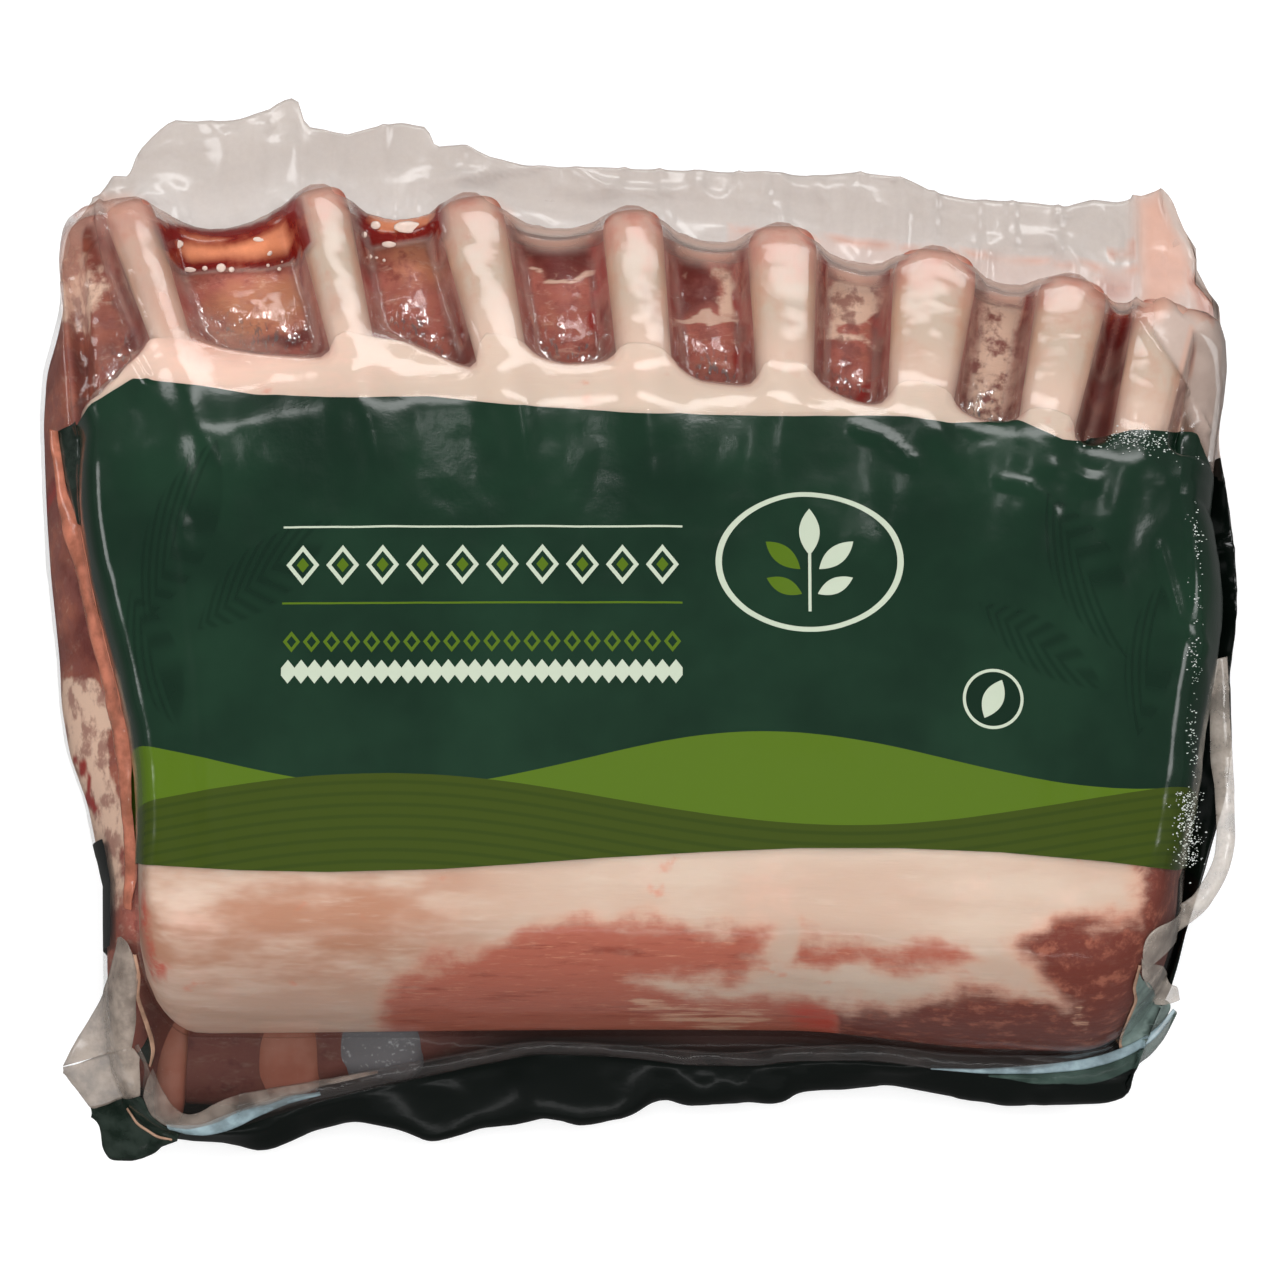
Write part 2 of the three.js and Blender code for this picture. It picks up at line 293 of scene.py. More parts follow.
LEFT_EDGE = Outline(-79.5, steps=((-35, 25, -11), (30, 48, -6)))
RIGHT_EDGE = Outline(86.5, steps=((-25, -50, -3),), bells=((5, 22, 5),))
LOW_EDGE = Outline(-48.0, steps=((25, 60, -2.4),), bells=((0, 60, 0.8), (90, 30, -1)))
TIP_LINE = Outline(70.6, slope=-0.105, curve=-0.0009, bells=((-55, 18, 1.2),))
LOW_Y = -48.0


class Side(Enum):
    """The four sides of the pack, in the order its rings run round them."""

    LOIN = (0.0, -1.0)
    RIGHT = (1.0, 0.0)
    TIPS = (0.05, 1.0)
    LEFT = (-1.0, 0.0)


RIM = {
    Side.LOIN: Line((
        (-90.0, -84.6), (-83.2, -85.2), (-79.7, -82.8), (-71.4, -83.7), (-65.0, -85.2), (-58.1, -81.9),
        (-49.4, -80.2), (-41.6, -81.8), (-36.4, -84.0), (-27.7, -81.1), (-17.3, -79.7), (-9.5, -80.9),
        (-3.5, -79.9), (3.5, -76.4), (10.4, -77.4), (24.3, -76.0), (27.8, -74.8), (43.4, -73.9),
        (55.6, -76.2), (72.9, -76.6), (85.2, -76.9)), 1.2),
    Side.RIGHT: Line((
        (-79.0, 82.9), (-71.7, 85.1), (-59.5, 90.0), (-47.5, 93.7), (-32.8, 98.3), (-27.6, 100.0),
        (-17.8, 101.4), (-10.1, 101.6), (-6.1, 101.4), (1.0, 102.6), (11.6, 103.2), (21.3, 102.5),
        (35.1, 100.7), (45.9, 101.2), (55.9, 99.5), (62.4, 100.2), (63.1, 97.3), (68.2, 96.9)), 1.0),
    Side.TIPS: Line((
        (-90.7, 84.2), (-89.4, 88.8), (-86.5, 92.5), (-83.9, 94.7), (-77.7, 94.2), (-71.5, 94.3),
        (-66.8, 96.6), (-65.1, 98.2), (-61.9, 99.0), (-61.3, 95.8), (-60.0, 93.0), (-52.9, 91.2),
        (-47.3, 92.9), (-43.3, 94.0), (-38.9, 93.4), (-37.4, 89.7), (-31.8, 89.7), (-27.3, 87.3),
        (-21.2, 86.0), (-7.0, 85.5), (10.6, 85.1), (28.2, 84.4), (37.0, 84.7), (45.8, 83.3),
        (50.2, 81.4), (56.3, 80.1), (68.6, 79.0), (73.9, 78.3), (78.3, 80.0), (82.7, 79.6),
        (88.0, 81.1), (91.9, 82.0), (92.9, 78.7), (95.7, 70.4)), 0.5),
    Side.LEFT: Line((
        (-70.0, -87.5), (-49.1, -90.5), (-34.4, -94.2), (-26.5, -95.9), (-17.7, -99.2), (-8.9, -100.9),
        (-1.7, -101.4), (5.3, -102.3), (13.5, -103.4), (23.1, -104.3), (32.1, -104.9), (41.2, -105.5),
        (50.0, -105.2), (58.6, -102.6), (63.8, -100.2), (67.3, -96.2), (70.0, -95.0), (83.0, -94.8)), 1.5),
}
SEAM = Line((
    (-84.1, -78.4), (-81.5, -81.3), (-78.0, -82.9), (-70.3, -82.4), (-52.4, -76.9), (-31.0, -71.7),
    (-18.3, -69.2), (-2.2, -69.6), (10.3, -71.4), (20.6, -71.0), (31.0, -70.3), (41.3, -70.3),
    (53.3, -72.1), (71.3, -73.1), (80.8, -71.8), (90.0, -69.5)), 2.0)
WINDOW_FEET = Line((
    (-82.0, 47.0), (-75.2, 47.2), (-70.3, 45.4), (-63.9, 44.2), (-51.3, 43.0), (-47.1, 46.4), (-42.4, 47.8),
    (-37.0, 45.2), (-31.9, 42.7), (-27.7, 40.6), (-22.7, 43.8), (-18.8, 43.8), (-12.6, 42.2), (-5.0, 42.7),
    (0.8, 42.4), (6.4, 41.2), (10.1, 39.0), (18.8, 37.8), (25.2, 38.6), (29.9, 38.4), (33.5, 36.3),
    (36.9, 34.8), (42.4, 34.0), (47.8, 34.9), (52.0, 34.0), (57.8, 31.6), (62.0, 31.1), (67.0, 29.4),
    (72.0, 27.8), (74.5, 27.1), (78.7, 27.2), (90.0, 26.0)), 0.8)
CORNER = Line((
    (55.0, 120.0), (57.5, 104.0), (58.5, 99.6), (59.9, 98.4), (60.2, 96.9), (61.2, 95.7), (64.8, 95.9),
    (67.6, 95.7), (71.1, 93.3), (78.3, 90.6), (82.0, 88.8)), 0.2)
FOOT = {Side.LOIN: 19.0, Side.RIGHT: 8.0, Side.TIPS: 5.5, Side.LEFT: 5.0}


SWELL = Noise(5)


@dataclass(frozen=True)
class PackForm:
    """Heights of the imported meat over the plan, and the grid that its surfaces follow."""

    crown: float = 66.0
    crown_line: float = -5.0
    fall_to_tips: float = 0.0021
    fall_to_loin: float = 0.0018
    end_drop: float = 3.5
    half_length: float = 95.0
    fat_edge_y: float = 42.0
    fat_edge_fall: float = 0.00135
    fat_edge_from: float = -30.0
    fat_corner: float = -82.0
    fat_corner_slope: float = 0.94
    fat_margin: float = 5.0
    window_floor: float = 46.0
    floor_fall: float = 0.0035
    window_bulge: float = 1.6
    wall_run: float = 2.4
    fillet: float = 4.0
    low_end: tuple[float, float, float] = (-84.0, -97.0, 6.0)
    ridge_height: float = 1.5
    rib_crown: float = 1.7
    tip_setback: float = 1.5
    corner_radius: float = 6.0
    cut_radius: float = 11.0       # rounding of the corner at the loin's right end
    tip_roundness: float = 0.6
    bridge: Pair = (2.2, 4.5)      # height of the film's curve at a window's foot, and its run

    def fat_edge(self, x: Array) -> Array:
        """Return the y where the fat cap ends, at plan x."""
        fall = self.fat_edge_fall * np.maximum(0.0, x - self.fat_edge_from) ** 2
        corner = self.fat_corner_slope * np.maximum(0.0, self.fat_corner - x)
        return self.fat_edge_y - fall - corner

    def window_foot(self, x: Array) -> Array:
        """Return the y where each window meets the fat; the windows' feet slope down to +X."""
        return WINDOW_FEET.at(x) - self.fat_corner_slope * np.maximum(0.0, self.fat_corner - x)

    def sag(self, x: Array) -> Array:
        """Return how far the film hangs back from the tip line between bones, 0 to 1."""
        tips = np.array([rib.tip[0] for rib in RIBS])
        index = np.clip(np.searchsorted(tips, x) - 1, 0, len(tips) - 2)
        share = np.clip((x - tips[index]) / (tips[index + 1] - tips[index]), 0.0, 1.0)
        return np.clip(1.25 * (4.0 * share * (1.0 - share)) - 0.25, 0.0, 1.0)

    def per_window(self, x: Array, name: str) -> Array:
        """Return a rib's field by name at the window right of it, smoothly varied over x."""
        middles = [(a.tip[0] + b.tip[0]) / 2 for a, b in zip(RIBS, RIBS[1:])]
        return np.interp(x, middles, [getattr(rib, name) for rib in RIBS[:-1]])

    def top_edge(self, x: Array) -> Array:
        """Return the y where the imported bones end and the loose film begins."""
        return TIP_LINE.at(x) - self.tip_setback - self.per_window(x, "sag") * self.sag(x)

    def rib_place(self, rib: Rib, x: Array, y: Array) -> tuple[Array, Array, Array]:
        """Locate plan points relative to a rib.

        Args:
            rib: the rib.
            x: plan x.
            y: plan y.
        Returns:
            Distance from the rib's axis, its half width there, and the share of its
            length, 0 at the root and 1 at the tip.
        """
        root_x, root_y = rib.root
        span_x = rib.tip[0] - root_x
        span_y = rib.tip[1] - root_y
        span = math.hypot(span_x, span_y)
        along = ((x - root_x) * span_x + (y - root_y) * span_y) / span**2
        t = np.minimum(along, 1.0 - self.tip_roundness * rib.tip_width / 2 / span)
        across = np.hypot(x - root_x - span_x * t, y - root_y - span_y * t)
        half = lerp(rib.root_width, rib.tip_width, np.clip(along, 0.0, 1.0)) / 2
        return across, half, along

    def outside(self, x: Array, y: Array) -> Array:
        """Return the distance out of the fat and bones into a window, negative inside."""
        distance = y - self.window_foot(x)
        for rib in RIBS:
            across, half, along = self.rib_place(rib, x, y)
            joined = smooth_min(distance, across - half, self.fillet)
            distance = np.where(along > -0.35, joined, distance)
        return distance

    def solid(self, x: Array, y: Array) -> Array:
        """Return the height of fat and bones as if there were no windows."""
        d = y - self.crown_line
        fall = np.where(d > 0, self.fall_to_tips, self.fall_to_loin) * d * d
        ridge = np.zeros_like(x)
        rounding = np.zeros_like(x)
        for rib in RIBS:
            across, half, along = self.rib_place(rib, x, y)
            ridge = np.maximum(ridge, bell(across, 0.0, half) * smoothstep(-1.3, -0.1, along))
            edge = np.clip(across / half, 0.0, 1.0) ** 3
            rounding = np.maximum(rounding, smoothstep(-0.1, 0.2, along) * edge)
        ends = self.end_drop * (x / self.half_length) ** 4
        swell = 0.45 * SWELL.fractal(x, y, 38.0, 2)
        return self.crown - fall - ends + swell + self.ridge_height * ridge - self.rib_crown * rounding

    def floor(self, x: Array, y: Array) -> Array:
        """Return the height of the lower rack's meat seen in the windows."""
        d = y - self.fat_edge_y
        bulge = self.window_bulge * smoothstep(1.0, 8.0, self.outside(x, y))
        start, end, drop = self.low_end
        return self.window_floor - self.floor_fall * d * d + bulge - drop * smoothstep(start, end, x)

    def film(self, x: Array, y: Array) -> Array:
        """Return the height of the film drawn down over the meat and bones."""
        outside = self.outside(x, y)
        floor = self.floor(x, y)
        run = self.per_window(x, "pocket")
        lift = smoothstep(0.0, 1.0, 1.0 - (self.top_edge(x) - y) / run)
        hanging = self.solid(x, TIP_LINE.at(x) - 4.0) - 1.0 - 3.2 * self.sag(x)
        height, run_out = self.bridge
        floor = floor + height * np.exp(-np.maximum(y - self.window_foot(x) - 1.0, 0.0) / run_out)
        floor = lerp(floor, np.maximum(floor, hanging), lift)
        open_share = smoothstep(-self.wall_run * 0.3, self.wall_run * 0.7, outside)
        return lerp(self.solid(x, y), floor, open_share)

    def crest(self, x: Array, y: Array) -> Array:
        """Return the height of a bone's top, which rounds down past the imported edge."""
        foot_out, foot_z = FOOT[Side.TIPS], 30.0
        out = np.clip(y - self.top_edge(x), 0.0, foot_out - 0.1)
        fall = np.sqrt(1.0 - (out / foot_out) ** 2)
        return foot_z + (self.solid(x, y) - foot_z) * fall

    def plan(self, u: Array, w: Array) -> tuple[Array, Array]:
        """Map grid coordinates to the plan before the corners are rounded.

        Args:
            u: 0 at the left edge to 1 at the right; each rib lies on a whole ninth.
            w: 0 at the loin edge, 1 just below the rib roots, 2 at the rib tips.
        Returns:
            Plan x and y.
        """
        low_x = lerp(LEFT_EDGE.at(LOW_Y), RIGHT_EDGE.at(LOW_Y), u)
        last = RIBS[-1]
        left_y = self.fat_edge_y - self.fat_margin
        right_y = float(self.fat_edge(np.array(last.root[0]))) - self.fat_margin
        root_stops = [LEFT_EDGE.at(left_y), *(rib.root[0] for rib in RIBS), RIGHT_EDGE.at(right_y)]
        tip_stops = [LEFT_EDGE.at(last.tip[1]), *(rib.tip[0] for rib in RIBS),
                     last.tip[0] + last.root_width / 2]
        stops = np.arange(len(RIBS) + 2)
        root_x = np.interp(u * stops[-1], stops, root_stops)
        tip_x = np.interp(u * stops[-1], stops, tip_stops)
        root_y = self.fat_edge(np.maximum(root_x, self.fat_corner)) - self.fat_margin
        t = np.clip(w, 0.0, 1.0)
        y = lerp(LOW_EDGE.at(low_x), root_y, t)
        left = LEFT_EDGE.at(y) - lerp(LEFT_EDGE.at(LOW_Y), LEFT_EDGE.at(left_y), t)
        right = RIGHT_EDGE.at(y) - lerp(RIGHT_EDGE.at(LOW_Y), RIGHT_EDGE.at(right_y), t)
        x = lerp(low_x, root_x, t) + lerp(left, right, u)
        v = np.clip(w - 1.0, 0.0, 1.0)
        x = np.where(w > 1.0, lerp(root_x, tip_x, v), x)
        y = np.where(w > 1.0, lerp(root_y, self.top_edge(tip_x), v), y)
        return x, y

    def rounded(self, x: Array, y: Array) -> tuple[Array, Array]:
        """Round the corners of a grid of plan points, rows first.

        Args:
            x: plan x of the grid, one row for each w.
            y: plan y of the grid.
        Returns:
            The moved x and y.
        """
        to_sides = ((x - x[:, :1], 1.0), (x[:, -1:] - x, -1.0))
        to_ends = ((y - y[:1], 1.0), (y[-1:] - y, -1.0))
        new_x, new_y = x.copy(), y.copy()
        for to_side, in_x in to_sides:
            for to_end, in_y in to_ends:
                cut = in_x < 0 < in_y
                radius = self.cut_radius if cut else self.corner_radius
                p = np.clip(1.0 - to_side / radius, 0.0, 1.0)
                q = np.clip(1.0 - to_end / radius, 0.0, 1.0)
                new_x += in_x * radius * p * (1.0 - np.sqrt(1.0 - q * q / 2))
                new_y += in_y * radius * q * (1.0 - np.sqrt(1.0 - p * p / 2))
        return new_x, new_y


FORM = PackForm()


# ---------------------------------------------------------------- closed shells
@dataclass(frozen=True)
class Knot:
    """One line round a shell: how far out of the patch's edge it lies, and how high.

    out is in millimetres and reach is a share of the side's own reach; z is above the
    table and edge is a share of the edge point's height; wave is a share of the ruffle and
    seam a share of the way out to the bag's seam.
    """

    out: float
    reach: float = 0.0
    z: float = 0.0
    edge: float = 0.0
    wave: float = 0.0
    seam: float = 0.0


@dataclass(frozen=True)
class Shell:
    """A closed surface: a patch of the plan, walls that run round it, and a flat base.

    columns and rows set the patch's grid, steps the number of lines between two knots.
    """

    columns: int
    rows: int
    sections: dict[Side, tuple[Knot, ...]]
    steps: tuple[int, ...]
    straight: frozenset[int] = frozenset()
    corner_blend: float = 0.032
    wall_fullness: float = 0.38
    cut_blend: float = 0.03        # more of both at the corner between the first two sides
    cut_fullness: float = 0.3
    inset: float = 0.0             # how far inside the rim's line the loin's right corner stays
    rim_fullness: float = 0.45
    wall_knots: int = 4
    cut_below: float = -46.0       # plan y below which nothing stands out of the right rim's line
    wave_height: float = 0.9

    def grid(self) -> tuple[Array, Array]:
        """Return plan x and y of an even grid from the loin edge to the rib tips."""
        u, w = np.meshgrid(np.linspace(0, 1, self.columns + 1), np.linspace(0, 2, self.rows + 1))
        return FORM.rounded(*FORM.plan(u, w))

    def closed(self, patch: Array) -> tuple[Array, list[tuple[int, ...]], Array, Array]:
        """Close a patch with its walls and base.

        Args:
            patch: points of the patch's grid.
        Returns:
            Points and faces, then for every point the number of its ring line, 0 on the
            patch, and its place round the border, -1 on the patch.
        """
        row, column, turn = self.perimeter()
        rings = self.rings(patch[row, column], turn)
        top = patch.reshape(-1, 3)
        level = np.r_[np.zeros(len(top)), np.repeat(np.arange(1, len(rings) + 1), len(turn))]
        place = np.r_[np.full(len(top), -1.0), np.tile(turn, len(rings))]
        return np.concatenate([top, rings.reshape(-1, 3)]), self.faces(len(rings)), level, place

    def perimeter(self) -> tuple[Array, Array, Array]:
        """List the patch's border points in order.

        Returns:
            Row indices, column indices, and the turn, 0 to 4, one for each side.
        """
        c, r = self.columns, self.rows
        row = np.r_[np.zeros(c, int), np.arange(r), np.full(c, r), np.arange(r, 0, -1)]
        column = np.r_[np.arange(c), np.full(r, c), np.arange(c, 0, -1), np.zeros(r, int)]
        turn = np.r_[np.arange(c) / c, 1 + np.arange(r) / r, 2 + np.arange(c) / c, 3 + np.arange(r) / r]
        return row, column, turn

    def reach(self, index: int, side: Side, edge: Array, turn: Array) -> tuple[Array, Array]:
        """Measure how far the rim and the seam of a side stand out of its foot.

        Args:
            index: number of the side.
            side: the side.
            edge: border points of the patch.
            turn: place of each point round the border.
        Returns:
            Distances from the foot to the rim and to the seam, for every border point.
        """
        own = (turn >= index) & (turn <= index + 1)
        along, across = (edge[:, 0], edge[:, 1]) if index % 2 == 0 else (edge[:, 1], edge[:, 0])
        order = np.argsort(along[own])
        line = np.interp(along, along[own][order], across[own][order])
        rim = np.abs(RIM[side].at(along) - line) - FOOT[side]
        seam = np.clip(np.abs(SEAM.at(along) - line) - FOOT[side], 0.6, rim - 1.5)
        return rim, seam

    def rings(self, edge: Array, turn: Array) -> Array:
        """Work out the lines that run round the shell below its patch.

        Args:
            edge: border points of the patch, one row each.
            turn: place of each point round the border, 0 to 4.
        Returns:
            Points as an array of line, border point and coordinate.
        """
        x, y, z = edge.T
        count = len(next(iter(self.sections.values())))
        knots = np.zeros((count + 1, len(edge), 3))
        knots[0] = edge
        reaches = [self.reach(index, side, edge, turn) for index, side in enumerate(Side)]
        wave = self.wave_height * ruffle(x * 1.1 + y * 0.9 + 20.0)
        cut = bell(turn, 1.0, 0.25)
        for number in range(count):
            knots[number + 1, :, :2] = edge[:, :2]
            on_wall = number < self.wall_knots
            fullness = self.wall_fullness + self.cut_fullness * cut if on_wall else self.rim_fullness
            for index, side in enumerate(Side):
                knot = self.sections[side][number]
                distance = np.abs(turn - index - 0.5)
                distance = np.minimum(distance, 4.0 - distance)
                blend = self.corner_blend + self.cut_blend * cut
                level = 1.0 - smoothstep(0.5 - blend, 0.5 + blend, distance)
                t = np.clip((distance - 0.5 + blend) / (2 * blend), 0.0, 1.0)
                share = np.maximum(0.0, np.cos(t * math.pi / 2)) ** fullness
                out = (knot.out + knot.reach * reaches[index][0] + knot.seam * reaches[index][1]) * share
                knots[number + 1, :, 0] += side.value[0] * out
                knots[number + 1, :, 1] += side.value[1] * out
                knots[number + 1, :, 2] += (knot.z + knot.edge * z + knot.wave * wave) * level
            place = knots[number + 1]
            limit = RIM[Side.RIGHT].at(place[:, 1]) - self.inset
            low = place[:, 1] < self.cut_below
            place[:, 0] = np.where(low, np.minimum(place[:, 0], limit), place[:, 0])
        return self.refined(knots)

    def refined(self, knots: Array) -> Array:
        """Insert smooth lines between the knots, and straight ones where asked."""
        lines = []
        last = len(knots) - 1
        for number in range(last):
            a, b = knots[number], knots[number + 1]
            before = knots[max(number - 1, 0)]
            after = knots[min(number + 2, last)]
            for step in range(1, self.steps[number] + 1):
                t = step / self.steps[number]
                if number in self.straight:
                    lines.append(lerp(a, b, t))
                    continue
                lines.append(0.5 * (2 * a + (b - before) * t
                                    + (2 * before - 5 * a + 4 * b - after) * t * t
                                    + (3 * a - before - 3 * b + after) * t**3))
        return np.array(lines)

    def faces(self, line_count: int) -> list[tuple[int, ...]]:
        """List the quads of the patch and walls, and the one flat face of the base."""
        c, r = self.columns, self.rows
        low = (np.arange(r)[:, None] * (c + 1) + np.arange(c)).ravel()
        patch = np.c_[low, low + 1, low + c + 2, low + c + 1]
        row, column, _ = self.perimeter()
        previous = row * (c + 1) + column
        size = len(previous)
        start = (r + 1) * (c + 1)
        quads = [patch]
        for line in range(line_count):
            current = start + line * size + np.arange(size)
            quads.append(np.c_[previous, current, np.roll(current, -1), np.roll(previous, -1)])
            previous = current
        return [*map(tuple, np.concatenate(quads).tolist()), tuple(previous[::-1].tolist())]


def vertex_normals(points: Array, faces: Sequence[tuple[int, ...]]) -> Array:
    """Return unit normals of a mesh of quads, leaving out its larger faces."""
    quads = np.array([face for face in faces if len(face) == 4])
    across = points[quads[:, 2]] - points[quads[:, 0]]
    along = points[quads[:, 3]] - points[quads[:, 1]]
    cross = np.cross(across, along)
    normals = np.zeros_like(points)
    for corner in range(4):
        np.add.at(normals, quads[:, corner], cross)
    return normals / (np.linalg.norm(normals, axis=1, keepdims=True) + 1e-12)


@dataclass(frozen=True)
class Placement:
    """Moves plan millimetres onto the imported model's box, in metres."""

    shift: Point

    @classmethod
    def from_frame(cls) -> "Placement":
        """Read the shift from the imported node's box."""
        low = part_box(NODE)[0]
        return cls((low[0] - PLAN_MIN[0] * MM, low[1] - PLAN_MIN[1] * MM, low[2]))

    def metres(self, points: Array) -> Array:
        """Return plan points as metres in the frame."""
        return points * MM + np.array(self.shift)


PLACE = Placement.from_frame()


def placed(name: str, data: bpy.types.ID) -> Piece:
    """Return a new object with this data, linked to the scene."""
    piece = bpy.data.objects.new(name, data)
    bpy.context.scene.collection.objects.link(piece)
    return piece


def build_mesh(name: str, points: Array, faces: Sequence[tuple[int, ...]],
               masks: dict[str, Array] | None = None) -> Piece:
    """Make a smooth-shaded mesh object from plan points.

    Args:
        name: object name.
        points: vertices in plan millimetres.
        faces: vertex indices of each face, counterclockwise from outside.
        masks: named numbers, one for each vertex.
    Returns:
        The object, linked to the scene.
    """
    mesh = bpy.data.meshes.new(name)
    mesh.from_pydata(PLACE.metres(points).tolist(), [], faces)
    mesh.polygons.foreach_set("use_smooth", np.ones(len(mesh.polygons), bool))
    for key, values in (masks or {}).items():
        layer = mesh.attributes.new(key, "FLOAT", "POINT")
        layer.data.foreach_set("value", np.ascontiguousarray(values, dtype=np.float32))
    mesh.update()
    return placed(name, mesh)


# ---------------------------------------------------------------- node graphs
class Value:
    """A socket of a node graph that takes part in plain arithmetic."""

    def __init__(self, graph: "Graph", socket: Socket) -> None:
        """Keep the socket and the graph that it belongs to."""
        self.graph = graph
        self.socket = socket

    def __add__(self, other: "Value | float") -> "Value":
        """Return the sum."""
        return self.graph.math("ADD", self, other)

    def __sub__(self, other: "Value | float") -> "Value":
        """Return the difference."""
        return self.graph.math("SUBTRACT", self, other)

    def __rsub__(self, other: "Value | float") -> "Value":
        """Return the difference from a number."""
        return self.graph.math("SUBTRACT", other, self)

    def __mul__(self, other: "Value | float") -> "Value":
        """Return the product."""
        return self.graph.math("MULTIPLY", self, other)

    def __abs__(self) -> "Value":
        """Return the value without its sign."""
        return self.graph.math("ABSOLUTE", self)

    def __gt__(self, other: "Value | float") -> "Value":
        """Return 1 where it is more than the other, else 0."""
        return self.graph.math("GREATER_THAN", self, other)

    def __lt__(self, other: "Value | float") -> "Value":
        """Return 1 where it is less than the other, else 0."""
        return self.graph.math("LESS_THAN", self, other)

    def sine(self) -> "Value":
        """Return its sine, the value being in radians."""
        return self.graph.math("SINE", self)

    def clamped(self) -> "Value":
        """Hold what a Math node puts out between 0 and 1."""
        self.socket.node.use_clamp = True
        return self

    def step(self, start: float, end: float) -> "Value":
        """Return a smooth step from 0 at start to 1 at end."""
        node = self.graph.add("ShaderNodeMapRange", {"Value": self, "From Min": start, "From Max": end},
                              interpolation_type="SMOOTHSTEP", clamp=True)
        return Value(self.graph, node.outputs["Result"])


class Graph:
    """Short hand for building a node tree."""

    def __init__(self, tree: bpy.types.NodeTree) -> None:
        """Keep the tree to build in."""
        self.tree = tree

    def add(self, kind: str, inputs: dict | None = None, **settings) -> bpy.types.Node:
        """Add a node.

        Args:
            kind: node type.
            inputs: values or sockets for its inputs, by name or index.
            **settings: node properties.
        Returns:
            The node.
        """
        node = self.tree.nodes.new(kind)
        for key, value in settings.items():
            setattr(node, key, value)
        for key, value in (inputs or {}).items():
            value = value.socket if isinstance(value, Value) else value
            if isinstance(value, Socket):
                self.tree.links.new(value, node.inputs[key])
            else:
                node.inputs[key].default_value = value
        return node

    def math(self, operation: str, a: Value | float, b: Value | float = 0.0) -> Value:
        """Return the result of a Math node."""
        return Value(self, self.add("ShaderNodeMath", {0: a, 1: b}, operation=operation).outputs[0])


class Streaks:
    """The shared node group of noise drawn out along a grain."""

    NAME = "streaks"
    INPUTS = {"Vector": "Vector", "Stretch": "Vector", "Turn": "Vector",
              "Detail": "Float", "Roughness": "Float"}

    @classmethod
    def tree(cls) -> bpy.types.NodeTree:
        """Return the group, built at its first use."""
        tree = bpy.data.node_groups.get(cls.NAME)
        if tree is None:
            tree = bpy.data.node_groups.new(cls.NAME, "ShaderNodeTree")
            for name, kind in cls.INPUTS.items():
                tree.interface.new_socket(name, in_out="INPUT", socket_type=f"NodeSocket{kind}")
            tree.interface.new_socket("Streaks", in_out="OUTPUT", socket_type="NodeSocketFloat")
            graph = Graph(tree)
            given = graph.add("NodeGroupInput").outputs
            laid = graph.add("ShaderNodeMapping", {
                "Vector": given["Vector"], "Scale": given["Stretch"], "Rotation": given["Turn"]})
            noise = graph.add("ShaderNodeTexNoise", {
                "Vector": laid.outputs[0], "Scale": 1.0, "Detail": given["Detail"],
                "Roughness": given["Roughness"]})
            graph.add("NodeGroupOutput", {"Streaks": noise.outputs["Fac"]})
        return tree


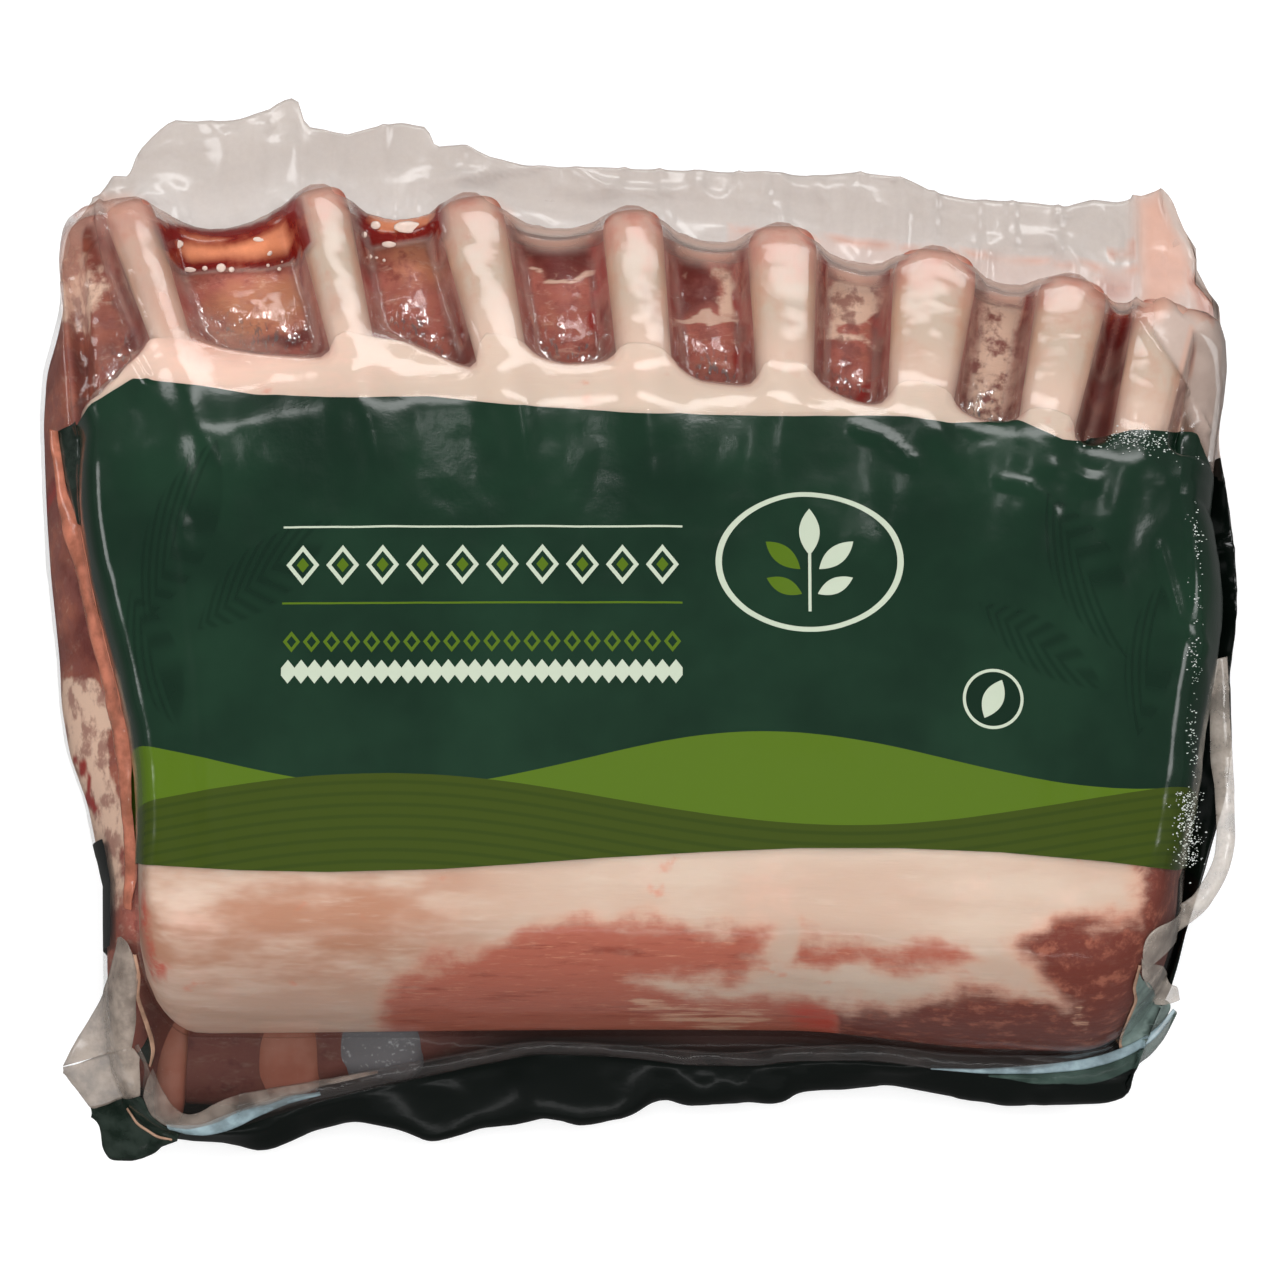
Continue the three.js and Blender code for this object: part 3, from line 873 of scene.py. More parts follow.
class Paint(Graph):
    """The graph of one material, drawn on coordinates in plan millimetres."""

    def __init__(self, name: str) -> None:
        """Make an empty node material of this name."""
        self.material = bpy.data.materials.new(name)
        self.material.use_nodes = True
        self.material.node_tree.nodes.clear()
        super().__init__(self.material.node_tree)
        coordinates = self.add("ShaderNodeTexCoord").outputs["Object"]
        shift = tuple(-value / MM for value in PLACE.shift)
        self.plan = self.add("ShaderNodeMapping", {"Vector": coordinates, "Location": shift,
                                                   "Scale": (1 / MM, 1 / MM, 1 / MM)}).outputs[0]

    def mask(self, name: str) -> Value:
        """Return a named number of the mesh."""
        return Value(self, self.add("ShaderNodeAttribute", attribute_name=name).outputs["Fac"])

    def noise(self, scale: float, detail: float = 2.0, roughness: float = 0.5) -> Value:
        """Return a noise value, about 0 to 1."""
        node = self.add("ShaderNodeTexNoise", {"Vector": self.plan, "Scale": scale, "Detail": detail,
                                               "Roughness": roughness})
        return Value(self, node.outputs["Fac"])

    def streaks(self, stretch: Point, turn: float, detail: float, roughness: float) -> Value:
        """Return noise scaled on each axis by stretch and turned about Z, in radians."""
        values = (self.plan, stretch, (0.0, 0.0, turn), detail, roughness)
        node = self.add("ShaderNodeGroup", dict(zip(Streaks.INPUTS, values)), node_tree=Streaks.tree())
        return Value(self, node.outputs["Streaks"])

    def layered(self, base: Value | Colour, *layers: tuple[Value, Value | Colour]) -> Value:
        """Lay colours over a base colour, each given after the share that it covers."""
        for share, colour in layers:
            node = self.add("ShaderNodeMix", {0: share, 6: base, 7: colour}, data_type="RGBA")
            base = Value(self, node.outputs[2])
        return base

    def bump(self, height: Value, strength: float, distance: float = 0.0005) -> Socket:
        """Return the normal of a surface that this height raises."""
        return self.add("ShaderNodeBump", {"Height": height, "Strength": strength,
                                           "Distance": distance}).outputs[0]

    def surface(self, colour: Value, normal: Socket, roughness: float, specular: float,
                **more: object) -> Socket:
        """Return an opaque shader.

        Args:
            colour: its colour.
            normal: its normal.
            roughness: its roughness.
            specular: its specular level.
            **more: other inputs, their names with _ for a space.
        Returns:
            The shader's socket.
        """
        others = {name.replace("_", " "): value for name, value in more.items()}
        return self.add("ShaderNodeBsdfPrincipled", {
            "Base Color": colour, "Roughness": roughness, "Normal": normal,
            "Specular IOR Level": specular, **others}).outputs[0]

    def shine(self, normal: Socket, most: float) -> Value:
        """Return how strongly film mirrors, more at a glance, and at most this much."""
        fresnel = self.add("ShaderNodeFresnel", {"IOR": 1.45, "Normal": normal}).outputs[0]
        return self.math("MINIMUM", fresnel, most)

    def film(self, shine: Value, normal: Socket, roughness: float, cover: Value, body: Socket) -> Material:
        """Finish the material as see-through film.

        Args:
            shine: share of light that it mirrors where it is clear.
            normal: its normal.
            roughness: roughness of what it mirrors.
            cover: share of it that is not clear.
            body: shader of that share.
        Returns:
            The material.
        """
        gloss = self.add("ShaderNodeBsdfGlossy", {"Color": (1, 1, 1, 1), "Roughness": roughness,
                                                  "Normal": normal})
        clear = self.add("ShaderNodeBsdfTransparent")
        sheet = self.add("ShaderNodeMixShader", {0: shine, 1: clear.outputs[0], 2: gloss.outputs[0]})
        return self.finished(self.add("ShaderNodeMixShader", {0: cover, 1: sheet.outputs[0],
                                                              2: body}).outputs[0])

    def finished(self, shader: Socket) -> Material:
        """Put the shader out and return the material."""
        self.add("ShaderNodeOutputMaterial", {0: shader})
        return self.material


def srgb(red: int, green: int, blue: int) -> Colour:
    """Return a screen colour, 0 to 255 a channel, as linear values."""
    def linear(value: int) -> float:
        """Return one channel as a linear value."""
        share = value / 255
        return share / 12.92 if share <= 0.04045 else ((share + 0.055) / 1.055) ** 2.4
    return (linear(red), linear(green), linear(blue), 1.0)


def scaled(colour: Colour, factor: float, more: float = 0.0) -> Colour:
    """Return a colour with its channels times factor plus more."""
    return (*(min(1.0, channel * factor + more) for channel in colour[:3]), 1.0)


# ---------------------------------------------------------------- marks on meat and film
BAND = Patch((
    (-87.2, 44.9), (-75.7, 43.7), (-66.2, 42.1), (-53.3, 41.6), (-36.1, 41.8), (-18.9, 40.1), (0.0, 39.0),
    (20.6, 38.5), (45.6, 38.5), (53.3, 37.2), (65.4, 37.7), (72.6, 34.4), (75.7, 34.1), (80.8, 35.1),
    (84.6, 36.1), (95.6, 35.6), (98.8, 27.3), (100.7, 8.3), (99.8, 0.0), (98.8, -7.1), (98.5, -16.0),
    (96.6, -28.7), (94.6, -38.2), (92.9, -39.7), (80.8, -38.2), (61.9, -36.5), (44.7, -35.8),
    (27.5, -35.8), (10.3, -36.5), (-6.9, -37.5), (-20.6, -38.5), (-34.4, -39.4), (-53.3, -39.9),
    (-68.8, -39.6), (-87.5, -38.5), (-88.1, -30.1), (-89.1, -14.4), (-89.8, -8.1), (-92.4, 0.2),
    (-94.9, 11.2), (-96.7, 21.3), (-97.7, 31.8), (-96.7, 37.0), (-94.6, 40.4)))
LOIN_LEAN = (
    Patch(((-44.6, -65.7), (-43.3, -62.0), (-39.2, -58.3), (-34.6, -55.7), (-27.9, -54.3), (-21.2, -52.3),
           (-15.1, -50.0), (-11.8, -48.8), (-2.4, -48.5), (7.1, -49.2), (11.9, -50.1), (18.7, -49.7),
           (21.7, -50.7), (21.4, -55.2), (15.3, -58.6), (5.1, -56.9), (-0.4, -57.9), (2.4, -59.2),
           (11.9, -61.4), (21.4, -61.4), (33.6, -63.0), (47.2, -63.3), (45.9, -74.0), (-3.8, -74.0),
           (-41.2, -73.0))),
    Patch(((25.5, -55.8), (28.2, -50.1), (33.6, -52.1), (40.4, -53.3), (47.2, -53.1), (54.7, -52.8),
           (56.1, -54.8), (54.0, -57.2), (47.2, -57.2), (39.1, -55.7), (30.9, -55.8))),
)
LOIN_DEEP = (
    Patch(((62.6, -52.1), (71.7, -48.7), (78.5, -48.4), (83.3, -48.7), (95.0, -48.4), (95.0, -76.0),
           (56.1, -76.0), (36.4, -72.0), (34.3, -63.3), (47.2, -63.3), (56.8, -60.1), (62.9, -60.3),
           (72.4, -62.5), (73.8, -63.3), (70.4, -58.6), (64.9, -54.5))),
    Patch(((85.5, -37.0), (97.0, -37.0), (97.0, -56.0), (86.5, -52.0))),
)
LOIN_RED = (
    Patch(((25.5, -63.7), (30.2, -63.2), (34.0, -64.3), (33.6, -68.1), (30.2, -68.2), (26.8, -66.0)), 1.5),
    Patch(((-86.4, -45.3), (-84.7, -44.6), (-83.9, -54.7), (-81.4, -56.3), (-82.1, -58.3),
           (-84.4, -59.0), (-85.4, -53.3)), 0.8),
)
LOIN_PALE = (
    Patch(((-1.7, -62.6), (11.9, -62.0), (20.7, -63.3), (24.8, -66.0), (18.7, -67.5), (-1.7, -67.1)), 1.6),
    Patch(((74.5, -63.3), (75.8, -64.0), (78.2, -70.5), (77.2, -70.8)), 0.6),
)
MEAT_PALE = (
    Patch(((14.2, 63.2), (17.4, 62.6), (17.4, 57.0), (14.8, 56.7), (13.2, 59.6))),
    Patch(((36.9, 62.6), (40.8, 62.6), (43.1, 60.3), (42.8, 57.0), (39.5, 55.7), (34.2, 55.7),
           (32.9, 52.4), (38.8, 52.4), (39.5, 51.1), (33.6, 50.4), (31.6, 52.1), (33.6, 57.7),
           (34.2, 60.9)), 0.8),
    Patch(((59.2, 60.9), (65.8, 59.6), (68.5, 57.7), (65.8, 51.1), (63.2, 44.5), (63.2, 37.9),
           (57.9, 38.6), (56.6, 43.2), (57.3, 49.1), (57.9, 55.7))),
    Patch(((-93.5, 63.8), (-91.9, 64.2), (-93.1, 59.9), (-95.8, 54.4), (-107.0, 55.2), (-107.0, 60.0),
           (-97.4, 64.7)), 1.4),
    Patch(((-107.0, -5.3), (-97.0, -6.5), (-93.5, -8.1), (-91.9, -10.0), (-89.1, -22.3), (-88.3, -31.8),
           (-87.6, -46.0), (-90.5, -46.0), (-100.0, -30.0), (-107.0, -10.4)), 0.7),
)
MEAT_TENDON = (
    Patch(((-20.0, 62.5), (-16.7, 60.7), (-10.7, 60.4), (-7.5, 62.1), (-6.7, 61.4), (-10.4, 59.4),
           (-17.0, 59.6), (-19.6, 61.4)), 0.5),
    Patch(((5.9, 57.7), (11.8, 56.5), (17.6, 57.0), (17.6, 55.7), (11.8, 55.4), (5.9, 56.3)), 0.5),
)
MEAT_TAN = (
    Patch(((-71.3, 59.1), (-63.4, 61.8), (-58.1, 61.1), (-56.8, 56.5), (-59.5, 52.5), (-66.7, 51.2),
           (-72.0, 51.9), (-74.6, 55.8)), 3.0),
    Patch(((-45.0, 66.7), (-37.1, 68.0), (-33.1, 67.0), (-31.8, 61.1), (-37.1, 60.4), (-43.7, 63.1)), 2.5),
)
# Darker meat, and painted shade: the long narrow strips beside the bones' flanks, and the one left of the
# first bone, stand for the shade in those crevices.
MEAT_DARK_AND_SHADE = (
    Patch(((-58.5, 69.6), (-56.0, 69.6), (-52.0, 50.2), (-60.8, 50.0), (-65.4, 50.6), (-59.5, 52.5),
           (-56.8, 54.5), (-57.8, 61.1)), 1.2),
    Patch(((-33.1, 68.3), (-30.5, 61.1), (-27.0, 47.6), (-31.2, 48.9), (-33.1, 51.9), (-30.5, 54.5),
           (-31.8, 61.1)), 1.2),
    Patch(((-20.6, 69.6), (-8.8, 69.3), (-7.5, 61.8), (-10.7, 59.8), (-16.7, 59.9), (-19.6, 62.1)), 2.0),
    Patch(((5.9, 68.2), (12.8, 68.2), (12.8, 57.7), (6.3, 57.3)), 2.0),
    Patch(((59.2, 57.0), (61.9, 56.3), (61.2, 54.4), (59.2, 54.7)), 0.7),
    Patch(((61.2, 52.4), (65.2, 53.0), (65.2, 50.4), (61.9, 50.4)), 0.7),
    Patch(((57.9, 61.6), (59.6, 61.6), (57.3, 49.8), (55.3, 40.5), (53.3, 41.2), (54.6, 49.8)), 0.8),
    Patch(((82.9, 57.7), (86.2, 57.7), (82.3, 44.5), (80.3, 35.3), (74.4, 34.6), (74.4, 37.9),
           (79.0, 47.1)), 1.0),
    Patch(((-91.9, 73.3), (-88.3, 63.8), (-85.2, 56.7), (-81.6, 49.6), (-85.6, 46.9), (-88.3, 52.0),
           (-91.9, 63.8)), 1.5),
    Patch(((-93.1, -10.0), (-91.5, -11.2), (-90.3, -16.7), (-89.1, -22.5), (-91.5, -22.3),
           (-94.3, -19.9), (-95.1, -16.4), (-94.3, -12.0)), 0.5),
    Patch(((-99.0, 12.0), (-94.5, 11.0), (-91.0, -4.0), (-94.0, -5.5), (-97.5, 2.0)), 2.5),
)
MEAT_RED = (
    Patch(((-8.8, 69.6), (-6.1, 69.6), (-3.8, 50.2), (-6.5, 49.2), (-7.5, 61.1)), 0.8),
    Patch(((17.2, 67.5), (19.7, 68.8), (20.3, 44.5), (17.8, 45.1)), 0.8),
    Patch(((42.1, 63.6), (45.4, 63.6), (44.8, 51.1), (42.1, 40.5), (38.8, 41.2), (40.8, 51.1),
           (42.8, 55.7)), 0.8),
    Patch(((-99.0, -16.7), (-98.0, -17.5), (-94.7, -25.0), (-91.9, -29.8), (-92.7, -30.6),
           (-95.8, -25.4)), 0.5),
)
JUICE_POCKETS = (
    Patch(((-84.0, 72.0), (-76.6, 71.0), (-70.0, 70.6), (-64.7, 72.0), (-58.5, 76.9), (-56.3, 68.3),
           (-58.8, 65.0), (-64.7, 63.6), (-71.3, 63.6), (-78.5, 62.9), (-81.5, 65.7)), 0.5),
    Patch(((-50.6, 77.0), (-34.0, 77.0), (-33.2, 69.6), (-40.4, 68.3), (-46.3, 67.3), (-47.8, 70.3)), 0.7),
)
FILM_STAINS = (
    Patch(((85.7, 75.7), (89.8, 77.7), (92.9, 70.5), (95.6, 65.4), (95.6, 61.1), (89.4, 55.0),
           (86.0, 53.3)), 2.5),
)
FILM_BLUSHES = (
    Patch(((-84.9, 61.3), (-81.3, 62.0), (-76.2, 53.3), (-81.7, 51.9), (-83.8, 56.2)), 1.6),
    Patch(((-92.6, 75.8), (-88.5, 76.5), (-84.9, 73.6), (-82.8, 70.0), (-84.9, 70.7), (-88.5, 72.9),
           (-91.1, 72.2)), 1.2),
    Patch(((-80.6, 51.9), (-76.2, 54.8), (-69.0, 51.9), (-63.2, 49.7), (-70.4, 48.3), (-76.2, 49.0)), 1.8),
    Patch(((-24.8, 75.0), (-22.3, 73.6), (-20.1, 62.7), (-21.8, 62.7), (-23.3, 68.5)), 0.9),
    Patch(((-54.2, 59.8), (-52.3, 59.8), (-51.6, 56.6), (-53.6, 56.6)), 1.2),
    Patch(((1.2, 59.8), (4.1, 59.8), (4.5, 55.5), (1.9, 56.2)), 1.3),
)
FILM_REDS = (
    Patch(((76.2, 59.8), (79.8, 62.7), (85.2, 62.0), (84.5, 59.1), (81.3, 57.7), (77.6, 58.4)), 1.6),
    Patch(((94.9, 62.2), (99.4, 62.7), (98.4, 54.2), (95.5, 56.8)), 0.8),
    Patch(((79.3, 66.0), (82.0, 67.2), (85.4, 68.6), (85.3, 66.6), (82.0, 66.4)), 0.3),
)
FILM_CREASES = (
    Crease(((37.0, 36.5), (42.0, 34.6), (47.5, 30.4)), 0.55, 0.9),
    Crease(((61.9, 27.6), (66.5, 26.6), (71.5, 22.8)), 0.5, 0.8),
    Crease(((71.5, 29.3), (77.0, 27.0)), 0.6, 1.6),
    Crease(((51.5, 35.6), (54.5, 31.0)), 0.5, 1.8),
    Crease(((89.3, 15.8), (92.5, 4.0), (97.5, -1.9)), 0.5, 0.9),
    Crease(((94.5, 27.0), (95.5, 10.0), (97.0, -8.0), (94.0, -26.0), (92.0, -36.0)), 0.5, 0.8),
    Crease(((-93.0, 75.5), (-91.0, 62.0), (-87.5, 50.0), (-84.5, 45.0)), 1.1, 0.7),
    Crease(((85.2, 77.0), (85.4, 56.0)), 0.9, 0.6),
    Crease(((86.0, 54.5), (93.0, 44.0), (97.0, 36.0)), 0.8, 0.6),
    Crease(((-79.0, 20.0), (-76.0, -4.0), (-74.0, -30.0)), 0.25, 1.6),
    Crease(((-20.0, 41.5), (-19.0, 30.0)), 0.35, 1.4),
    Crease(((6.5, 40.5), (8.5, 28.0)), 0.3, 1.6),
)


# ---------------------------------------------------------------- finishes
@dataclass(frozen=True)
class FatFinish:
    """Cream fat with pink tints, streaked lean meat where the masks say, and blood."""

    cream: Colour = srgb(214, 192, 174)
    pink: Colour = srgb(255, 204, 186)
    tan: Colour = srgb(184, 134, 108)
    streak: Colour = srgb(226, 208, 190)
    spot: Colour = srgb(216, 104, 70)
    halo: Colour = srgb(222, 172, 146)
    lean: Colour = srgb(184, 104, 84)
    lean_dark: Colour = srgb(152, 72, 56)
    lean_pale: Colour = srgb(216, 150, 122)
    deep: Colour = srgb(117, 53, 41)
    deep_pale: Colour = srgb(176, 106, 84)
    marbling: Colour = srgb(222, 176, 148)
    red: Colour = srgb(196, 58, 38)
    blood: Colour = srgb(126, 30, 22)

    def build(self) -> Material:
        """Make the material; masks lean, pink, tan, deep, pale, red and blood tint the cream."""
        paint = Paint("fat_and_lean")
        curl = paint.noise(0.3, 6.0, 0.68)
        grain = paint.streaks((0.07, 0.5, 0.42), 0.12, 6.0, 0.7)
        edge = (curl - 0.5) * 0.8 + (grain - 0.5) * 0.8
        lean = paint.mask("lean")
        colour = paint.layered(
            self.fat(paint, grain), (lean.step(0.0, 0.5) * 0.45, self.halo),
            ((lean + edge).step(0.1, 0.95), self.flesh(paint, edge, grain, curl)),
            (paint.mask("red") * grain.step(0.3, 0.6), self.red), (paint.mask("blood"), self.blood))
        return paint.finished(paint.surface(
            colour, paint.bump(grain, 0.3), 0.42, 0.25, Subsurface_Weight=0.12,
            Subsurface_Radius=(0.9, 0.35, 0.2), Subsurface_Scale=0.002))

    def fat(self, paint: Paint, grain: Value) -> Value:
        """Return the fat's colour: cream with pink clouds, fine streaks and orange spots."""
        clouds = paint.noise(0.09, 4.0, 0.6).step(0.5, 0.8) * 0.5
        pink = (paint.mask("pink") + clouds) * grain.step(-0.1, 0.75)
        low = paint.streaks((0.035, 0.09, 0.09), 0.2, 4.0, 0.6).step(0.28, 0.6)
        return paint.layered(
            self.cream, (pink * 0.8, self.pink), (low * paint.mask("tan"), self.tan),
            (grain.step(0.55, 0.75) * 0.35, self.streak),
            (paint.noise(0.17, 4.0).step(0.66, 0.8) * 0.5, self.spot))

    def flesh(self, paint: Paint, edge: Value, grain: Value, curl: Value) -> Value:
        """Return the lean meat's colour.

        Args:
            paint: the material's graph.
            edge: noise that frays the marks' outlines.
            grain: streaky noise.
            curl: cloudy noise.
        Returns:
            Red-brown with darker and paler streaks, and fat where it is pale.
        """
        fine = paint.streaks((0.25, 1.4, 1.1), 0.1, 4.0, 0.7)
        deep = (paint.mask("deep") + edge * 0.7).step(0.3, 0.8)
        pale = (paint.mask("pale") * 0.62 + (grain - 0.5) * 2.4).step(0.45, 0.85)
        return paint.layered(
            self.lean, (grain.step(0.5, 0.3), self.lean_dark),
            (fine.step(0.54, 0.76) * 0.7, self.lean_pale),
            (deep, paint.layered(self.deep, (curl.step(0.48, 0.68) * 0.8, self.deep_pale))),
            (pale * 0.85, self.marbling))


@dataclass(frozen=True)
class MeatFinish:
    """Raw meat of the lower rack: brown-red grain, silverskin, blood and pale fat, with painted shade in
    its crevices and under the loin.
    """

    brown: Colour = srgb(182, 104, 90)
    rust: Colour = srgb(160, 92, 66)
    tan: Colour = srgb(198, 130, 96)
    clot: Colour = srgb(136, 58, 50)
    # dark is darker meat and also painted shade, in the crevices beside the bones and along the windows'
    # edges
    dark: Colour = srgb(98, 28, 26)
    silver: Colour = srgb(228, 192, 170)
    red: Colour = srgb(160, 36, 26)
    fat: Colour = srgb(238, 202, 178)
    bruise: Colour = srgb(138, 76, 68)
    shade: Colour = srgb(44, 20, 16)

    def build(self) -> Material:
        """Make the material; masks tan, rust, dark, red, pale, mottled, tendon and shade tint it."""
        paint = Paint("raw_meat")
        grain = paint.streaks((0.22, 0.6, 0.4), 0.5, 6.0, 0.72)
        curl = paint.noise(0.3, 6.0, 0.66)
        edge = (curl - 0.5) * 1.6
        colour = paint.layered(
            self.brown, (paint.mask("tan") + edge, self.tan), (paint.mask("rust"), self.rust),
            (curl.step(0.47, 0.3) * 0.7, self.clot), (grain.step(0.53, 0.72) * 0.6, self.silver),
            # the dark layer: darker meat, and painted shade of the crevices
            ((paint.mask("dark") + edge * 0.5).step(0.1, 0.9) * 0.88, self.dark),
            ((paint.mask("pale") + edge * 1.1).step(0.2, 0.8), self.fat),
            (paint.mask("mottled") * paint.noise(0.24, 5.0, 0.62).step(0.47, 0.63), self.bruise),
            ((paint.mask("tendon") + edge * 0.4).step(0.25, 0.8) * 0.85, self.silver),
            ((paint.mask("red") + edge * 0.35).step(0.15, 0.9), self.red),
            (paint.mask("shade"), self.shade))
        return paint.finished(paint.surface(colour, paint.bump(grain, 0.35), 0.4, 0.3))


@dataclass(frozen=True)
class BoneFinish:
    """Scraped ivory rib bone with pink at the sawn end and orange stains at the sides."""

    ivory: Colour = srgb(196, 174, 156)
    pink: Colour = srgb(206, 142, 126)
    red: Colour = srgb(180, 66, 48)
    stain: Colour = srgb(200, 146, 106)
    wet: Colour = srgb(140, 80, 62)
    cool: Colour = srgb(98, 104, 108)
    # painted highlight: light specks on the bluish-grey bone that stand in for glints
    painted_glint: Colour = srgb(150, 156, 158)
    fat: Colour = srgb(218, 188, 170)

    def build(self) -> Material:
        """Make the material; masks tip, side, blush, marrow, wet, cool and fat tint the ivory, and cool
        brings painted highlight specks.
        """
        paint = Paint("rib_bone")
        veins = paint.streaks((0.5, 0.14, 0.4), 0.2, 5.0, 0.7)
        shifted = (paint.noise(0.2, 3.0, 0.6) - 0.5) * 1.2
        side = (paint.mask("side") + shifted).clamped()
        blush = (paint.mask("blush") + veins.step(0.5, 0.8)).clamped()
        # the bluish-grey bone with painted highlight specks
        cool = paint.layered(self.cool, (paint.noise(0.9, 4.0, 0.7).step(0.58, 0.66), self.painted_glint))
        colour = paint.layered(
            self.ivory, (blush * 0.45, self.pink), (side * 0.8, self.stain),
            ((paint.mask("tip") + shifted).clamped() * 0.8, self.pink), (paint.mask("fat"), self.fat),
            (paint.mask("tip") * side * 0.8, self.red), (paint.mask("marrow"), self.red),
            (paint.mask("wet") + shifted * 0.3, self.wet), (paint.mask("cool"), cool))
        return paint.finished(paint.surface(
            colour, paint.bump(veins, 0.2, 0.0004), 0.5, 0.25, Subsurface_Weight=0.08,
            Subsurface_Radius=(0.8, 0.4, 0.25), Subsurface_Scale=0.0015))


@dataclass(frozen=True)
class Leaf:
    """A plain pointed leaf of the printed pattern, in plan millimetres."""

    middle: Pair
    length: float
    width: float
    turn: float

    def mask(self, x: Value, y: Value) -> Value:
        """Return a value above 0 inside the leaf, largest on its midrib."""
        cos, sin = math.cos(math.radians(self.turn)), math.sin(math.radians(self.turn))
        dx, dy = x - self.middle[0], y - self.middle[1]
        share = (dx * cos + dy * sin) * (2.0 / self.length)
        return (1.0 - share * share) * (self.width / 2) - abs(dy * cos - dx * sin)


@dataclass(frozen=True)
class FilmFinish:
    """Clear vacuum film with a printed dark green band and plain shapes in light greens."""

    green: Colour = srgb(18, 40, 28)
    green_light: Colour = srgb(27, 54, 38)
    green_shadow: Colour = srgb(10, 30, 20)
    back_green: Colour = srgb(5, 11, 8)
    haze_colour: Colour = srgb(206, 193, 184)
    olive: Colour = srgb(58, 72, 18)
    olive_dark: Colour = srgb(40, 58, 18)
    bright: Colour = srgb(80, 106, 22)
    cream: Colour = srgb(186, 196, 176)
    pocket: Colour = srgb(250, 160, 116)
    # blood is the colour of blood, and also of painted shade along the windows' edges
    blood: Colour = srgb(118, 20, 16)
    back_top: float = 33.0       # plan y up to which the back sheet is printed
    medallion: Pair = (28.0, 6.0)
    badge: Pair = (58.0, -17.0)
    sprig: tuple[Leaf, ...] = (
        Leaf((28.0, 11.0), 8.0, 3.4, 90.0), Leaf((23.6, 7.0), 7.4, 3.0, 140.0),
        Leaf((32.4, 7.0), 7.4, 3.0, 40.0), Leaf((23.8, 1.8), 6.4, 2.6, 155.0),
        Leaf((32.2, 1.8), 6.4, 2.6, 25.0))
    shadows: tuple[Leaf, ...] = (
        Leaf((-76.0, 12.0), 34.0, 12.0, 70.0), Leaf((-62.0, 4.0), 30.0, 11.0, 40.0),
        Leaf((-80.0, -10.0), 26.0, 9.0, 110.0), Leaf((74.0, 4.0), 32.0, 12.0, 115.0),
        Leaf((84.0, -10.0), 28.0, 9.0, 80.0), Leaf((66.0, -8.0), 26.0, 9.0, 145.0))

    def build(self) -> Material:
        """Make the material.

        Masks place its print, back sheet, haze, juice, blood, crinkles and dullness; the blood mask also
        carries painted shade along the windows' edges.

        Returns:
            The material.
        """
        paint = Paint("vacuum_film")
        parts = paint.add("ShaderNodeSeparateXYZ", {0: paint.plan}).outputs
        x, y = Value(paint, parts[0]), Value(paint, parts[1])
        back = paint.mask("back") > 0.5
        band = (paint.mask("band") > 0.0) * (1.0 - back)
        printed = paint.math("MAXIMUM", band, back * (y < self.back_top))
        cloud = paint.noise(0.03, 4.0, 0.6).step(0.3, 0.75)
        ink = self.artwork(paint, x, y, paint.layered(self.green, (cloud, self.green_light)))
        mottle = paint.noise(0.3, 4.0, 0.6)
        juice = paint.mask("juice")
        # bloody: blood, and painted shade along the windows' edges
        bloody = (paint.mask("blood") + (mottle - 0.5) * 0.7).clamped()
        wet = paint.layered(self.pocket, (bloody, self.blood))
        colour = paint.layered(self.haze_colour, (juice, wet),
                               (printed, paint.layered(ink, (back, self.back_green))))
        haze = paint.mask("haze") * (mottle * 0.3 + 0.85) + 0.015
        cover = paint.math("MAXIMUM", paint.math("MAXIMUM", haze, juice * 0.85), printed).clamped()
        crinkle = paint.mask("crinkle")
        wrinkles = paint.streaks((0.9, 0.5, 0.6), 0.1, 2.0, 0.6) * (crinkle * 26.0)
        normal = paint.bump(paint.noise(0.45, 3.0, 0.6) + wrinkles, 0.1)
        specks = paint.streaks((1.3, 0.6, 0.6), 0.15, 3.0, 0.6).step(0.53, 0.62)
        shine = paint.shine(normal, 0.16) * (paint.mask("dull") * -0.9 + 1.0) + specks * crinkle * 0.6
        return paint.film(shine, normal, 0.12, cover, paint.surface(colour, normal, 0.2, 0.45))

    def artwork(self, paint: Paint, x: Value, y: Value, ink: Value) -> Value:
        """Return the band's ink with its plain printed shapes.

        Args:
            paint: the material's graph.
            x: plan x.
            y: plan y.
            ink: colour of the plain band.
        Returns:
            The colour.
        """
        layers = []
        for shadow in self.shadows:
            shade = shadow.mask(x, y)
            ribs = ((x + shade) * 2.6).sine().step(-1.2, 1.4)
            layers.append((shade.step(0.0, 0.8) * ribs * 0.5, self.green_shadow))
        far = (x * 0.052 + 0.5).sine() * 4.6 - 27.0
        near = (x * 0.041 + 3.3).sine() * 4.2 - 33.5
        lines = ((y - near) * 3.4).sine().step(0.2, 0.9) * 0.45
        layers += [(y < far, self.bright),
                   (y < near, paint.layered(self.olive, (lines, self.olive_dark)))]
        ring = self.distance(x, y, self.medallion, (15.0, 11.5))
        layers.append((abs(ring - 1.0) < 0.035, self.cream))
        for number, leaf in enumerate(self.sprig):
            layers.append((leaf.mask(x, y) > 0.0, self.cream if number % 2 == 0 else self.bright))
        badge = self.distance(x, y, self.badge, (5.0, 5.0))
        centre = Leaf(self.badge, 7.0, 3.4, 65.0).mask(x, y)
        stem = (abs(x - self.medallion[0]) < 0.25) * (abs(y - 3.5) < 6.0)
        layers += [(badge < 1.0, self.cream), (badge < 0.9, self.green), (centre > 0.0, self.cream),
                   (stem, self.cream)]
        return paint.layered(ink, *layers, *self.rules(paint, x, y))

    def distance(self, x: Value, y: Value, middle: Pair, radii: Pair) -> Value:
        """Return the distance from an oval's middle as a share, 1 on its outline."""
        dx, dy = ((value - place) * (1 / radius) for value, place, radius in zip((x, y), middle, radii))
        return x.graph.math("SQRT", dx * dx + dy * dy)

